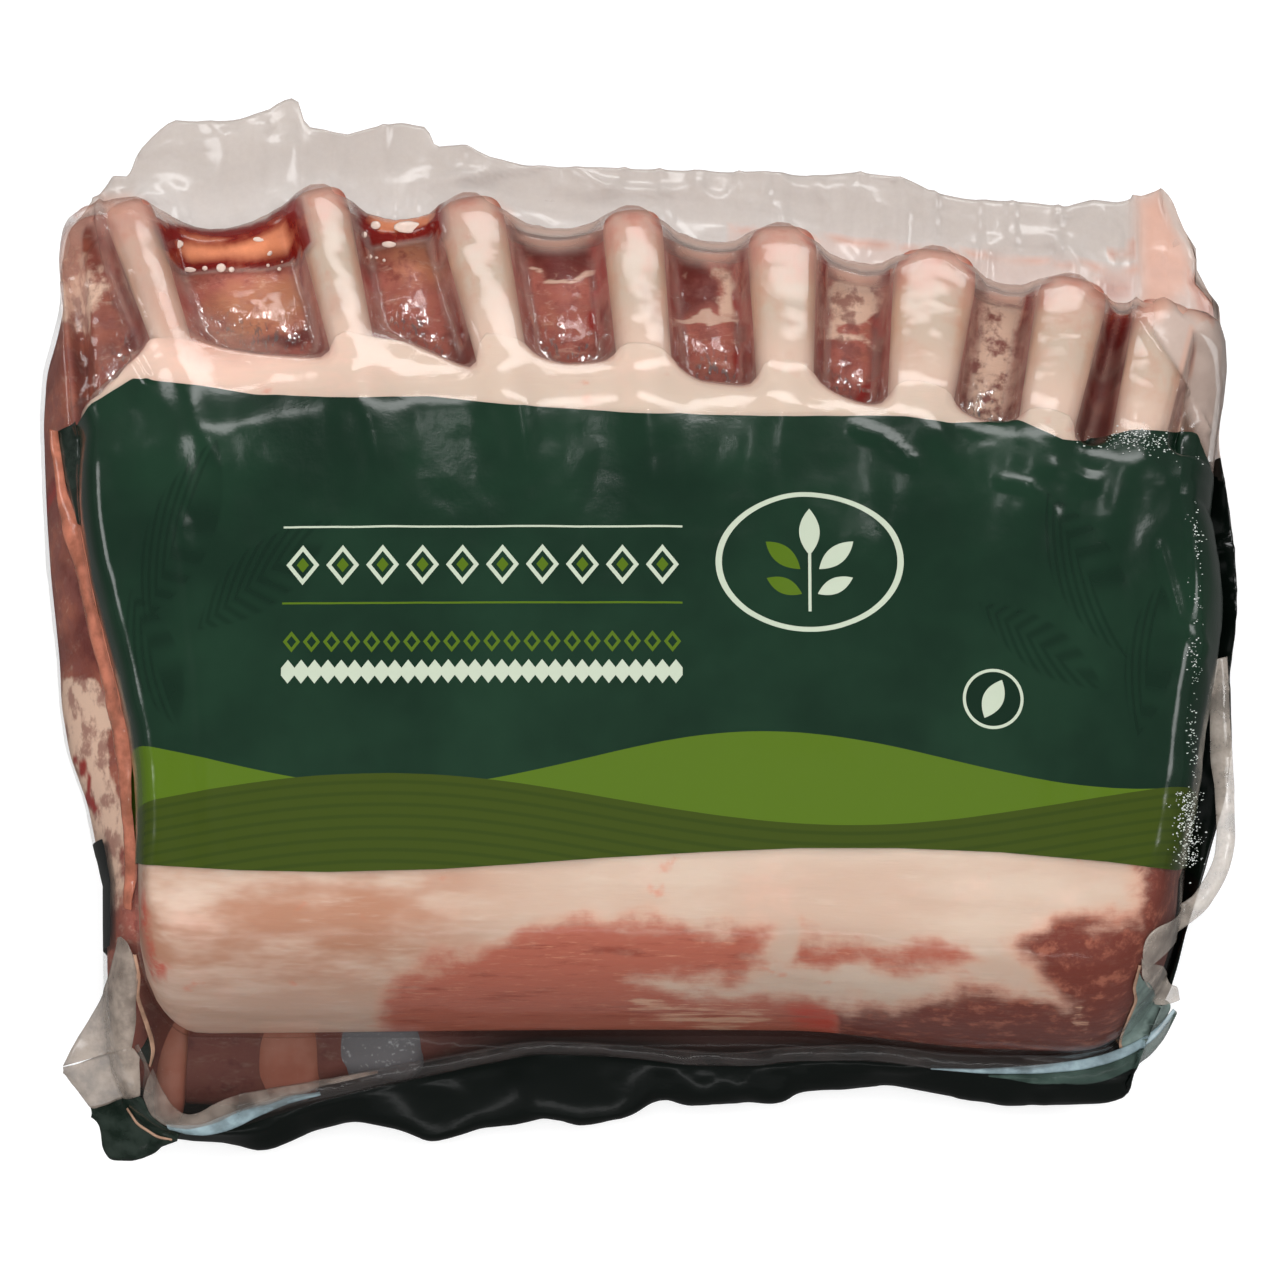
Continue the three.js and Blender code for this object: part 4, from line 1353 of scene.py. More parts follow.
    def rules(self, paint: Paint, x: Value, y: Value) -> list[tuple[Value, Colour]]:
        """Return two thin rules and rows of small open lozenges, as layers of ink."""
        middle, reach = -26.0, 33.0
        side = abs(x - middle) < reach
        layers = [((abs(y - level) < 0.17) * side, tint)
                  for level, tint in ((12.0, self.cream), (-1.0, self.bright))]
        rows = ((5.5, 2.3, 0.42, 6.6, self.cream), (5.5, 0.5, 0.5, 6.6, self.bright),
                (-7.5, 1.1, 0.32, 3.3, self.bright), (-12.5, 0.8, 0.8, 2.2, self.cream))
        for level, size, width, pitch, tint in rows:
            place = paint.math("PINGPONG", x + (reach - middle + pitch * 40), pitch / 2)
            away = abs(place - pitch / 2) + abs(y - level) * 0.8
            layers.append(((abs(away - size) < width) * side, tint))
        return layers


class FilmKind(Enum):
    """Colours of loose strips of film: face colour and how much they hide."""

    CLEAR = (srgb(204, 192, 180), 0.42)
    GREY = (srgb(166, 152, 140), 0.68)
    VEIL = (srgb(176, 160, 148), 0.2)
    SEAM = (srgb(72, 60, 56), 0.12)
    TEAL = (srgb(118, 136, 130), 0.8)
    DUSK = (srgb(64, 86, 78), 0.6)
    # pale blue of the seam film: partly its own tint, partly a painted sheen
    BLUE = (srgb(168, 192, 200), 0.55)
    JUICY = (srgb(200, 122, 96), 0.75)
    TAN = (srgb(200, 160, 134), 0.7)
    GREEN = (srgb(12, 30, 20), 1.0)


@dataclass(frozen=True)
class StripFinish:
    """Loose film, clear or tinted, with cloudy haze and a gloss."""

    kind: FilmKind

    def build(self) -> Material:
        """Make the material."""
        tint, cover = self.kind.value
        paint = Paint(f"loose_film_{self.kind.name.lower()}")
        cloud = paint.noise(0.25, 4.0, 0.6)
        colour = paint.layered(scaled(tint, 0.72), (cloud.step(0.3, 0.7), scaled(tint, 1.25, 0.02)))
        normal = paint.bump(paint.noise(0.5, 3.0, 0.6), 0.15)
        share = ((cloud - 0.5) * 0.3 + cover).clamped()
        return paint.film(paint.shine(normal, 0.2), normal, 0.13, share,
                          paint.surface(colour, normal, 0.22, 0.4))


@dataclass(frozen=True)
class DotFinish:
    """Small pale dots: air bubbles in the juice, or frost on the film."""

    name: str
    colour: Colour
    roughness: float

    def build(self) -> Material:
        """Make the material."""
        paint = Paint(self.name)
        colour = paint.layered(scaled(self.colour, 0.8), (paint.noise(1.2, 2.0), self.colour))
        return paint.finished(paint.add("ShaderNodeBsdfPrincipled", {
            "Base Color": colour, "Roughness": self.roughness}).outputs[0])


@dataclass(frozen=True)
class FloorFinish:
    """White paper to look at, with little light thrown back onto the pack."""

    seen: Colour = (0.55, 0.55, 0.55, 1.0)
    glow: float = 0.62
    thrown: Colour = (0.10, 0.10, 0.10, 1.0)

    def build(self) -> Material:
        """Make the material."""
        paint = Paint("studio_paper")
        direct = Value(paint, paint.add("ShaderNodeLightPath").outputs["Is Camera Ray"])
        return paint.finished(paint.add("ShaderNodeBsdfPrincipled", {
            "Base Color": paint.layered(self.thrown, (direct, self.seen)), "Roughness": 0.9,
            "Specular IOR Level": 0.0, "Emission Color": (1.0, 1.0, 1.0, 1.0),
            "Emission Strength": direct * self.glow}).outputs[0])


# ---------------------------------------------------------------- pieces
def dress(piece: Piece, finish: Material) -> Piece:
    """Give a piece its finish and tie it to the pack.

    Args:
        piece: the piece.
        finish: its material.
    Returns:
        The piece.
    """
    if not piece.data.materials:
        piece.data.materials.append(finish)
    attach(piece, BODY)
    return piece


def shoulder(foot_out: float, foot_z: float) -> tuple[Knot, ...]:
    """Return the knots of a wall that rounds over from the patch's edge to its foot."""
    knots = [Knot(foot_out * math.sin(turn), z=foot_z * (1 - math.cos(turn)), edge=math.cos(turn))
             for turn in map(math.radians, (22, 45, 68))]
    return (*knots, Knot(foot_out, z=foot_z))


def under(base: Pair, root: Pair, root_z: float) -> tuple[Knot, ...]:
    """Return the knots that curve in from the root to the base; pairs are out and reach."""
    return tuple(Knot(*(lerp(a, b, math.cos(turn)) for a, b in zip(base, root)),
                      z=root_z * (1 - math.sin(turn)))
                 for turn in map(math.radians, (0, 35, 65, 90)))


@dataclass
class Bag:
    """The vacuum bag: front sheet, back sheet and the loose edges between them."""

    film_gap: float = 0.5       # thickness of the two sheets where they lie together
    seat: float = 0.14          # how far the film stands off the meat
    trim_ease: float = 5.0      # run over which loose film is held back at the right-hand bone ends
    steps: tuple[int, ...] = (3, 4, 4, 4, 3, 4, 5, 6, 2, 4, 4, 4, 3, 3)
    seam_knot: dict[Side, int] = field(default_factory=lambda: {  # from which a side is back sheet
        Side.LOIN: 7, Side.RIGHT: 4, Side.TIPS: 8, Side.LEFT: 7})
    noise: Noise = field(default_factory=lambda: Noise(3))
    facets: Noise = field(default_factory=lambda: Noise(8))

    def shell(self) -> Shell:
        """Return the closed surface of the bag."""
        g = self.film_gap
        sections = {
            Side.LOIN: (*shoulder(19, 20), Knot(19.4, z=17.5), Knot(19, z=15.6, seam=0.5),
                        Knot(19, z=15.0, seam=0.97), Knot(19, 0.45, 12.6, seam=0.55),
                        Knot(19, 0.9, 9.6, seam=0.1), Knot(18.7, 1, 6.0), *under((10, 1), (16.5, 1), 3)),
            Side.RIGHT: (*shoulder(8, 28), Knot(8, 0.15, 28), Knot(8, 0.35, 28.6, 0, 0.3),
                         Knot(8, 0.7, 29.6, 0, 0.7), Knot(8, 1, 30, 0, 1), Knot(7.9, 1, 30 - g, 0, 1),
                         Knot(8, 0.4, 27.4, 0, 0.4), *under((-6, 1), (4, 1), 24)),
            Side.TIPS: (*shoulder(5.5, 30), Knot(5.5, 0.12, 30), Knot(5.5, 0.35, 30, 0, 0.35),
                        Knot(5.5, 0.7, 30, 0, 0.7), Knot(5.5, 1, 30, 0, 1), Knot(5.4, 1, 30 - g, 0, 1),
                        Knot(5.5, 0.35, 30 - g, 0, 0.35), *under((-7, 0), (4, 0), 26)),
            Side.LEFT: (*shoulder(5, 37), Knot(5, 0.12, 37), Knot(5, 0.35, 34.5), Knot(5, 0.7, 29.5),
                        Knot(5, 1, 22), Knot(4.9, 1, 14), Knot(4.3, 1, 11), *under((-4, 1), (3.5, 1), 9)),
        }
        return Shell(234, 128, sections, self.steps, straight=frozenset({8}))

    def build(self, finish: Material) -> Piece:
        """Make the bag's mesh and dress it."""
        shell = self.shell()
        x, y = shell.grid()
        points, faces, level, place = shell.closed(np.stack([x, y, FORM.film(x, y)], axis=-1))
        masks = self.masks(points, level, place)
        points = self.wrinkled(points, faces, masks)
        piece = build_mesh("vacuum_bag", points, faces, masks)
        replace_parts(dress(piece, finish), NODE)
        return piece

    def line_of(self, knot: int) -> int:
        """Return the number of the ring line at a knot."""
        return int(np.sum(self.steps[:knot]))

    def masks(self, points: Array, level: Array, place: Array) -> dict[str, Array]:
        """Work out where the film is hazy, is back sheet, or holds juice, and where it carries painted
        shade.

        Args:
            points: the bag's points.
            level: number of the ring line of each point, 0 on the patch.
            place: place of each point round the border, -1 on the patch.
        Returns:
            A number for every point under each mask's name.
        """
        x, y, z = points.T
        across, up = tilted(x, y, z)
        side = np.clip(place.astype(int), 0, 3)
        starts = np.array([self.line_of(self.seam_knot[name]) for name in Side])[side]
        back = np.where(level > 0, smoothstep(-0.6, 0.6, level - starts - 0.5), 0.0)
        shown = smoothstep(-31.0, -37.0, y) * smoothstep(-53.0, -46.0, y)  # the one such part at the left
        back = np.where(side == 3, back * shown, back)
        foot = self.line_of(4)
        loose = ((place > 1.3) & (place < 3.12)) * smoothstep(foot * 0.45, foot + 1.0, level)
        loose = loose * (1.0 - smoothstep(self.line_of(9) + 2.0, self.line_of(10) + 2.0, level))
        top = level == 0
        to_edge = FORM.top_edge(x) - y
        outside = np.where(top, FORM.outside(x, y), -5.0)
        wet = bell(to_edge, 0.4, 1.0) * smoothstep(-0.5, 0.8, outside) * top
        wet = wet * lerp(0.45, 1.0, smoothstep(-20.0, -35.0, x))
        tips = (place >= 2.0) & (place <= 3.0)
        rib_end = 1.0 - FORM.sag(x)
        fold = bell(np.where(level > 0, level, 0.0), 8.0, 3.0) * tips * lerp(0.4, 0.75, rib_end)
        ledge = 70.3 - 0.101 * (across - 18.3)  # where the film folds over the right-hand bone ends
        bridge = tips * (across > 15.0) * (level > 3)
        fold = np.maximum(fold, 0.7 * bell(level, 5.0, 3.0) * tips * rib_end * (level > 0))
        fold = np.maximum(fold, 0.6 * bell(up, ledge, 0.5) * bridge)
        veil = tips * smoothstep(0.0, 3.0, level) * (1.0 - 0.75 * smoothstep(0.2, 0.8, rib_end))
        veil = np.where(level < foot + 1, veil, 0.0)
        near_end = top * smoothstep(2.6, 0.3, to_edge) * FORM.sag(x) * (x > -20.0)
        veil = np.maximum(veil, 0.6 * near_end)
        warm = 0.4 * smoothstep(-84.0, -92.0, across) * smoothstep(50.0, 64.0, up) * (level > 0)
        warm = warm * smoothstep(76.0, 70.0, up)
        flushed = 0.22 * bridge * smoothstep(0.4, -0.4, up - ledge) * smoothstep(0.6, 0.2, back)
        beyond = x - 86.3 - 0.6 * np.maximum(0.0, 47.0 - y)  # out from the last bone's right side
        right_veil = 0.75 * smoothstep(-0.8, 1.8, beyond) * (y > 27.0) * (z > 20.0)
        pools = covered(JUICE_POCKETS, across, up) * (z > 40) * (y < TIP_LINE.at(x) + 3.0)
        stains = covered(FILM_STAINS, across, up) * 0.5
        reds = covered(FILM_REDS, across, up) * (back < 0.5) * 0.8
        blushes = covered(FILM_BLUSHES, *frayed(across, up, 0.8), softer=2.0) * 0.6
        window = top * (y > 15)
        uneven = np.clip(0.8 + 0.6 * self.noise.fractal(x * 1.3, y, 5.0, 2), 0.25, 1.1)
        # dark_line: painted shade with blood, a dark red line on the film where each window's floor meets
        # the bones and fat; it feeds juice and blood
        dark_line = bell(outside, 0.6, 1.25) * 0.9 * uneven * window
        warm_line = bell(outside, -0.9, 0.8) * 0.32 * window
        edges = np.maximum.reduce([bell(patch.distance(across, up), 0.7, 1.7) for patch in JUICE_POCKETS])
        juice = np.maximum.reduce([wet, fold, pools, stains, dark_line, warm_line, 0.25 * veil, reds,
                                   blushes, flushed, 0.16 * right_veil, warm])
        blood = 0.1 * pools + edges * (pools > 0.1) + dark_line * 1.2 + 0.4 * wet + 0.35 * fold
        blood = np.clip(blood + 0.65 * reds + 0.25 * blushes, 0, 1)
        haze = np.maximum.reduce([loose * 0.62, veil * 0.8, right_veil * (back < 0.5)])
        in_pocket = top * (outside > 0.0) * smoothstep(1.3, 0.95, to_edge / FORM.per_window(x, "pocket"))
        dull = np.maximum(in_pocket, tips * (level < foot) * (level > 0))
        dull = np.maximum(dull, 0.85 * window * bell(outside, 0.6, 1.3))
        return {"band": BAND.distance(across, up), "back": back, "haze": np.clip(haze, 0, 1), "dull": dull,
                "juice": np.clip(juice, 0, 1), "blood": blood, "loose": loose,
                "crinkle": smoothstep(1.2, 2.6, outside) * bell(y - FORM.window_foot(x), 5.0, 3.2) * window}

    def wrinkled(self, points: Array, faces: Sequence[tuple[int, ...]], masks: dict[str, Array]) -> Array:
        """Return the bag's points with its film's wrinkles, creases and facets.

        Args:
            points: the smooth points.
            faces: the bag's faces.
            masks: the bag's masks; loose is taken out of them.
        Returns:
            The moved points.
        """
        x, y, z = points.T
        across, up = tilted(x, y, z)
        loose = masks.pop("loose")
        normals = vertex_normals(points, faces)
        tight = 1.0 - loose
        ripple = 0.13 * self.noise.fractal(x, y + z, 9.0, 3)
        outside = FORM.outside(x, y)
        window = smoothstep(0.5, 2.5, outside) * (z > 38) * tight
        low_part = bell(y - FORM.window_foot(x), 5.0, 5.0)
        sparkle = (0.25 + 0.3 * low_part) * window * np.abs(self.noise.fractal(x * 2.0, y * 0.8, 3.2, 2))
        slack = masks["back"] * smoothstep(-60.0, -70.0, y)
        ripple = ripple + slack * 0.7 * self.facets.fractal(x, y + z, 13.0, 3)
        creases = sum(crease.lift(across, up) for crease in FILM_CREASES) * (z > 26)
        flats = 0.12 * np.abs(self.facets.fractal(x, y, 5.0, 2)) * tight
        lift = self.seat + ripple + sparkle + creases + flats
        points = points + normals * np.maximum(lift, 0.02)[:, None] * (points[:, 2:] > 1.0)
        broad = (1.0 - np.abs(self.facets.at(x / 17.0, y / 11.0 + 3.0))) ** 5
        narrow = (1.0 - np.abs(self.facets.at(x / 7.0 + 9.0, y / 15.0))) ** 8
        tug = np.sin((up + 0.15 * across) * 2.2) * bell(y, float(TIP_LINE.at(np.array(0.0))) + 7.0, 6.0)
        sharp = (1.0 - np.abs(self.facets.at(x / 11.0 + y / 19.0, y / 8.0 - x / 25.0))) ** 10
        points[:, 2] += loose * (1.5 * broad + 1.1 * narrow + 0.9 * sharp + 0.16 * tug - 0.9)
        limit = CORNER.at(up) - self.trim_ease
        over = np.maximum(across - limit, 0.0)
        trimmed = limit + self.trim_ease * np.tanh(over / self.trim_ease)
        points[:, 0] -= np.where((loose > 0.3) & (over > 0.0), across - trimmed, 0.0)
        points[:, 2] = np.maximum(points[:, 2], 0.0)
        return points


@dataclass
class BoneForm:
    """A bone as rounded sections along a path, closed by a sawn end."""

    sides: int = 36
    squareness: float = 2.7
    end_round: float = 2.2

    def sections(self, centres: Array, half_width: Array, half_height: float) -> tuple[Array, list, Array]:
        """Build the bone's points and faces.

        Args:
            centres: points along the bone's middle, ending at the sawn end.
            half_width: half width at each of them.
            half_height: half height throughout.
        Returns:
            Points, faces, and how far towards the sides each point lies, 0 to 1.
        """
        count, n = len(centres), self.sides
        heading = np.gradient(centres[:, :2], axis=0)
        heading /= np.linalg.norm(heading, axis=1, keepdims=True)
        aside = np.stack([heading[:, 1], -heading[:, 0]], axis=-1)
        from_end = np.linalg.norm(centres - centres[-1], axis=1)
        shrink = np.sqrt(1.0 - np.clip(1.0 - from_end / self.end_round, 0.0, 1.0) ** 2 * 0.62)
        angle = np.linspace(0, 2 * math.pi, n, endpoint=False)
        power = 2 / self.squareness
        cos, sin = (np.sign(part) * np.abs(part) ** power for part in (np.cos(angle), np.sin(angle)))
        width = (half_width * shrink)[:, None] * cos
        points = np.empty((count, n, 3))
        points[..., :2] = centres[:, None, :2] + aside[:, None, :] * width[..., None]
        points[..., 2] = centres[:, 2:] + half_height * shrink[:, None] * sin
        points = points.reshape(-1, 3)
        last = points[-n:]
        core = last.mean(axis=0) + (last - last.mean(axis=0)) * 0.6
        points = np.concatenate([points, core])
        ring = np.arange(count * n).reshape(count, n)
        ring = np.vstack([ring, count * n + np.arange(n)])
        low, high = ring[:-1], ring[1:]
        quads = np.stack([low, high, np.roll(high, -1, axis=1), np.roll(low, -1, axis=1)], axis=-1)
        ends = [tuple(range(n)), tuple(ring[-1][::-1].tolist())]
        faces = [*map(tuple, quads.reshape(-1, 4).tolist()), *ends]
        side = np.r_[np.tile(smoothstep(0.55, 1.0, np.abs(cos)), count), np.zeros(n)]
        return points, faces, side


@dataclass
class UpperRack:
    """The rack that lies on top: its fat cap and loin, and eight bare rib ends."""

    gap: float = 0.35
    columns: int = 180
    rows: int = 96
    cap_rows: int = 56           # rows from the loin edge to just below the rib roots
    bone_rows: int = 60
    bone_half_height: float = 5.0
    past_edge: float = 4.3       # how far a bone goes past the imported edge, into the fold
    tip_reach: float = 0.62      # length of a tip's rounded part, as a share of its width
    noise: Noise = field(default_factory=lambda: Noise(11))

    def back_share(self, u: Array) -> Array:
        """Return how far up the rib part of the grid the fat reaches, for each column."""
        shares = np.linspace(0.02, 0.28, 140)
        uu, ww = np.meshgrid(u, 1.0 + shares)
        x, y = FORM.plan(uu, ww)
        closed = FORM.outside(x, y) < -0.75
        first_open = np.where(closed.all(axis=0), len(shares) - 1, np.argmin(closed, axis=0))
        ends = shares[np.maximum(first_open - 1, 0)]
        kernel = np.array([0.25, 0.5, 0.25])
        return np.minimum(ends, np.convolve(np.pad(ends, 1, mode="edge"), kernel, "valid"))

    def build_body(self, finish: Material) -> Piece:
        """Make the fat cap and loin as one closed mesh."""
        sections = {
            Side.LOIN: (*shoulder(18.5, 21), Knot(17, z=18.6), Knot(8, z=24), Knot(-6, z=28)),
            Side.RIGHT: (*shoulder(7.4, 29.5), Knot(5.5, z=27.5), Knot(-2, z=28), Knot(-8, z=29)),
            Side.TIPS: (Knot(0.35, z=-1.0, edge=1), Knot(0.5, z=-5.0, edge=1), Knot(0.4, z=49.5),
                        Knot(-0.6, z=48.4), Knot(-3.5, z=47), Knot(-9, z=41), Knot(-16, z=32)),
            Side.LEFT: (*shoulder(4.6, 38.2), Knot(3.2, z=37.2), Knot(-3, z=36), Knot(-9, z=32)),
        }
        shell = Shell(self.columns, self.rows, sections, (11, 11, 11, 11, 3, 3, 3), inset=1.2)
        u = np.linspace(0, 1, shell.columns + 1)
        ends = self.back_share(u)
        between_ribs = np.linspace(0, 1, self.rows - self.cap_rows + 1)[1:, None]
        w = np.concatenate([np.repeat(np.linspace(0, 1, self.cap_rows + 1)[:, None], u.size, axis=1),
                            1.0 + between_ribs * ends[None, :]])
        x, y = FORM.rounded(*FORM.plan(np.repeat(u[None, :], len(w), axis=0), w))
        lump = 0.22 * self.noise.fractal(x, y, 14.0, 3)
        z = FORM.solid(x, y) - self.gap + np.minimum(lump, 0.12)
        points, faces = shell.closed(np.stack([x, y, z], axis=-1))[:2]
        return dress(build_mesh("upper_rack_loin", points, faces, self.loin_masks(points)), finish)

    def loin_masks(self, points: Array) -> dict[str, Array]:
        """Work out where lean meat, pink fat and blood show on the loin."""
        x, y, z = points.T
        across, up = tilted(x, y, z)
        wide = frayed(across, up, 1.6)
        deep = covered(LOIN_DEEP, *wide, 1.8)
        lean = np.maximum(covered(LOIN_LEAN, *wide, 2.0), deep)
        pink = 0.9 * bell(across, -72.0, 16.0) * smoothstep(36.0, 50.0, up) + 0.15 * smoothstep(38, 50, up)
        pink = pink + 0.3 * smoothstep(-37.0, -50.0, up) * smoothstep(-20.0, -60.0, across)
        outside = FORM.outside(x, y)
        blood = 0.7 * smoothstep(-1.3, -0.5, outside) * (y > 15)
        tan = smoothstep(-36.0, -40.0, up) * lerp(0.3, 1.0, smoothstep(-15.0, -45.0, across))
        tan = tan * lerp(0.45, 1.0, smoothstep(-64.0, -55.0, up))
        return {"lean": lean, "deep": deep, "pink": np.clip(pink, 0, 1), "blood": blood, "tan": tan,
                "pale": covered(LOIN_PALE, *wide), "red": 0.8 * covered(LOIN_RED, *frayed(across, up, 0.8))}

    def build_bone(self, number: int, rib: Rib, finish: Material) -> Piece:
        """Make one bare rib end, from inside the fat to its sawn tip."""
        edge_y = float(FORM.top_edge(np.array(rib.tip[0])))
        last = 1.0 + (edge_y + self.past_edge - rib.tip[1]) / (rib.tip[1] - rib.root[1])
        along = np.linspace(-0.42, last, self.bone_rows)
        x = lerp(rib.root[0], rib.tip[0], along)
        y = lerp(rib.root[1], rib.tip[1], along)
        from_end = np.clip((edge_y + self.past_edge - y) / (self.tip_reach * rib.tip_width), 0.0, 1.0)
        rounding = (1.0 - (1.0 - from_end) ** 2.4) ** (1 / 2.4)
        half = (lerp(rib.root_width, rib.tip_width, np.clip(along, 0, 1)) / 2 - 0.45) * rounding + 0.05
        z = FORM.crest(x, y) - self.gap - 0.05 - self.bone_half_height
        z = z - 1.6 * smoothstep(0.12, -0.15, along)
        points, faces, side = BoneForm().sections(np.stack([x, y, z], axis=-1), half, self.bone_half_height)
        share = np.repeat(along, BoneForm.sides)
        core = np.ones(BoneForm.sides)
        blush = np.full(len(points), 0.7 if number == 1 else 0.0)
        fat = np.r_[smoothstep(0.55, 0.12, share), core * 0.0]
        masks = {"tip": np.r_[0.8 * smoothstep(0.62, 1.0, share), core], "side": side, "blush": blush,
                 "fat": fat, "marrow": np.r_[np.zeros(len(share)), core * 0.4]}
        return dress(build_mesh(f"upper_rib_bone_{number}", points, faces, masks), finish)


@dataclass
class LowerRack:
    """The rack underneath: meat seen between the ribs and at the ends, and its rib ends."""

    gap: float = 0.35
    buried: float = 25.0         # height of the meat's top under the upper rack's fat
    bone_steps: int = 24         # points round a bone, and sections along it
    ribs: tuple[tuple[Pair, Pair, float, float], ...] = (
        ((-80.3, -58.0), (-81.7, -80.4), 2.7, 2.5), ((-60.4, -58.0), (-61.6, -76.2), 6.0, 3.6),
        ((-45.0, -58.0), (-45.6, -73.0), 8.0, 3.0), ((-19.0, -50.0), (-18.6, -62.0), 5.0, 4.0),
        ((6.0, -50.0), (6.0, -62.0), 5.0, 4.0), ((31.0, -50.0), (31.0, -62.0), 5.0, 4.0),
        ((55.0, -50.0), (55.0, -62.0), 5.0, 4.0), ((77.0, -50.0), (77.0, -61.0), 5.0, 4.0))
    noise: Noise = field(default_factory=lambda: Noise(29))

    def build_body(self, finish: Material) -> Piece:
        """Make the meat of the lower rack as one closed mesh."""
        sections = {
            Side.LOIN: (Knot(5, z=24.5), Knot(11, z=21), Knot(14.5, z=14), Knot(17, z=10.5, seam=0.68),
                        Knot(16, z=6, seam=0.78), Knot(9, z=0.9)),
            Side.RIGHT: (Knot(3, z=25.5), Knot(6, z=26.5), Knot(7.2, z=25), Knot(6, z=15), Knot(3, z=6),
                         Knot(-3, z=0.9)),
            Side.TIPS: (Knot(0.8, z=-1.5, edge=1), Knot(4.4, z=37), Knot(4.8, z=27), Knot(3.0, z=18),
                        Knot(-1, z=7), Knot(-8, z=0.9)),
            Side.LEFT: (Knot(2.5, z=33), Knot(4.7, z=36.2), Knot(4.6, 0.4, z=33), Knot(4.4, 1, z=22),
                        Knot(3.6, 1, z=12), Knot(-4.5, 1, z=0.9)),
        }
        shell = Shell(190, 130, sections, (3, 6, 9, 9, 6, 5), inset=2.0)
        x, y = shell.grid()
        outside = FORM.outside(x, y)
        lump = 0.35 * self.noise.fractal(x, y, 8.0, 3)
        floor = FORM.floor(x, y) - self.gap - 0.1 + np.minimum(lump, 0.2)
        between = FORM.solid(x, y) - 8.2
        tissue = smoothstep(0.9, -1.0, outside) * smoothstep(2.0, 6.0, y - FORM.window_foot(x))
        floor = np.where(between > floor, lerp(floor, between, tissue), floor)
        rise = smoothstep(-8.0, -1.5, y - FORM.fat_edge(x))
        points, faces = shell.closed(np.stack([x, y, lerp(self.buried, floor, rise)], axis=-1))[:2]
        return dress(build_mesh("lower_rack_loin", points, faces, self.masks(points)), finish)

    def masks(self, points: Array) -> dict[str, Array]:
        """Work out where tendon, blood, dark meat and fat show, and where shade is painted."""
        x, y, z = points.T
        across, up = tilted(x, y, z)
        outside = FORM.outside(x, y)
        uneven = 0.5 + 0.7 * self.noise.fractal(x * 1.4, y, 6.0, 2)
        window = (y > 15) * smoothstep(-3.0, -1.0, outside)
        wall = window * smoothstep(0.8, -0.4, outside)
        # line: painted shade with blood, a dark red line where each window's floor meets the bones and fat;
        # it goes into dark and red
        line = window * bell(outside, 0.9, 1.7) * np.clip(0.75 + 0.5 * uneven, 0.3, 1.2)
        left_end = smoothstep(-86.0, -90.0, x)
        shade = smoothstep(-50.0, -60.0, y) * smoothstep(-88.0, -84.0, x)
        shade = shade * lerp(0.78, 0.97, smoothstep(-45.0, -20.0, x))
        across, up = frayed(across, up, 2.0)
        # darker meat, with the painted shade of the crevices
        dark = np.maximum(covered(MEAT_DARK_AND_SHADE, across, up, 1.4), 0.9 * line)
        dark = np.maximum(dark, left_end * np.clip(0.5 * uneven + 0.1, 0.0, 0.6))
        red = np.maximum.reduce([covered(MEAT_RED, across, up), 0.75 * wall, 0.5 * line])
        pale = np.maximum(covered(MEAT_PALE, across, up, 1.6), smoothstep(85, 87, x) * (y > 22))
        mottled = window * np.interp(x, (-90, -85, 0, 5, 18, 20, 30, 44, 50, 54, 72, 76),
                                     (0.6, 0.2, 0.3, 0.55, 0.55, 0.3, 0.75, 0.75, 0.4, 0.95, 0.95, 0.3))
        mottled = np.maximum(mottled, 0.7 * left_end)
        return {"tan": covered(MEAT_TAN, across, up), "dark": dark, "rust": 0.6 * left_end, "red": red,
                "pale": pale, "mottled": mottled, "shade": shade,
                "tendon": covered(MEAT_TENDON, across, up)}

    def build_bone(self, number: int, finish: Material) -> Piece:
        """Make one rib end of the lower rack, which points to the loin edge."""
        root, tip, half_width, half_height = self.ribs[number - 1]
        count = self.bone_steps
        share = np.linspace(0, 1, count)
        top = 14.7 if number == 1 else 13.6
        centres = np.stack([lerp(root[0], tip[0], share), lerp(root[1], tip[1], share),
                            top - half_height - 3.0 * share**3], axis=-1)
        bone = BoneForm(count, end_round=4.0)
        points, faces, side = bone.sections(centres, np.full(count, half_width), half_height)
        every, core = np.ones(len(points)), np.ones(count)
        masks = {"tip": np.r_[np.repeat(smoothstep(0.5, 1.0, share), count), core], "side": side,
                 "blush": every, "wet": every * 0.85, "cool": every * (0.9 if number == 3 else 0.0),
                 "fat": every * 0.0, "marrow": np.r_[np.zeros(count * count), core * 0.8]}
        return dress(build_mesh(f"lower_rib_bone_{number}", points, faces, masks), finish)


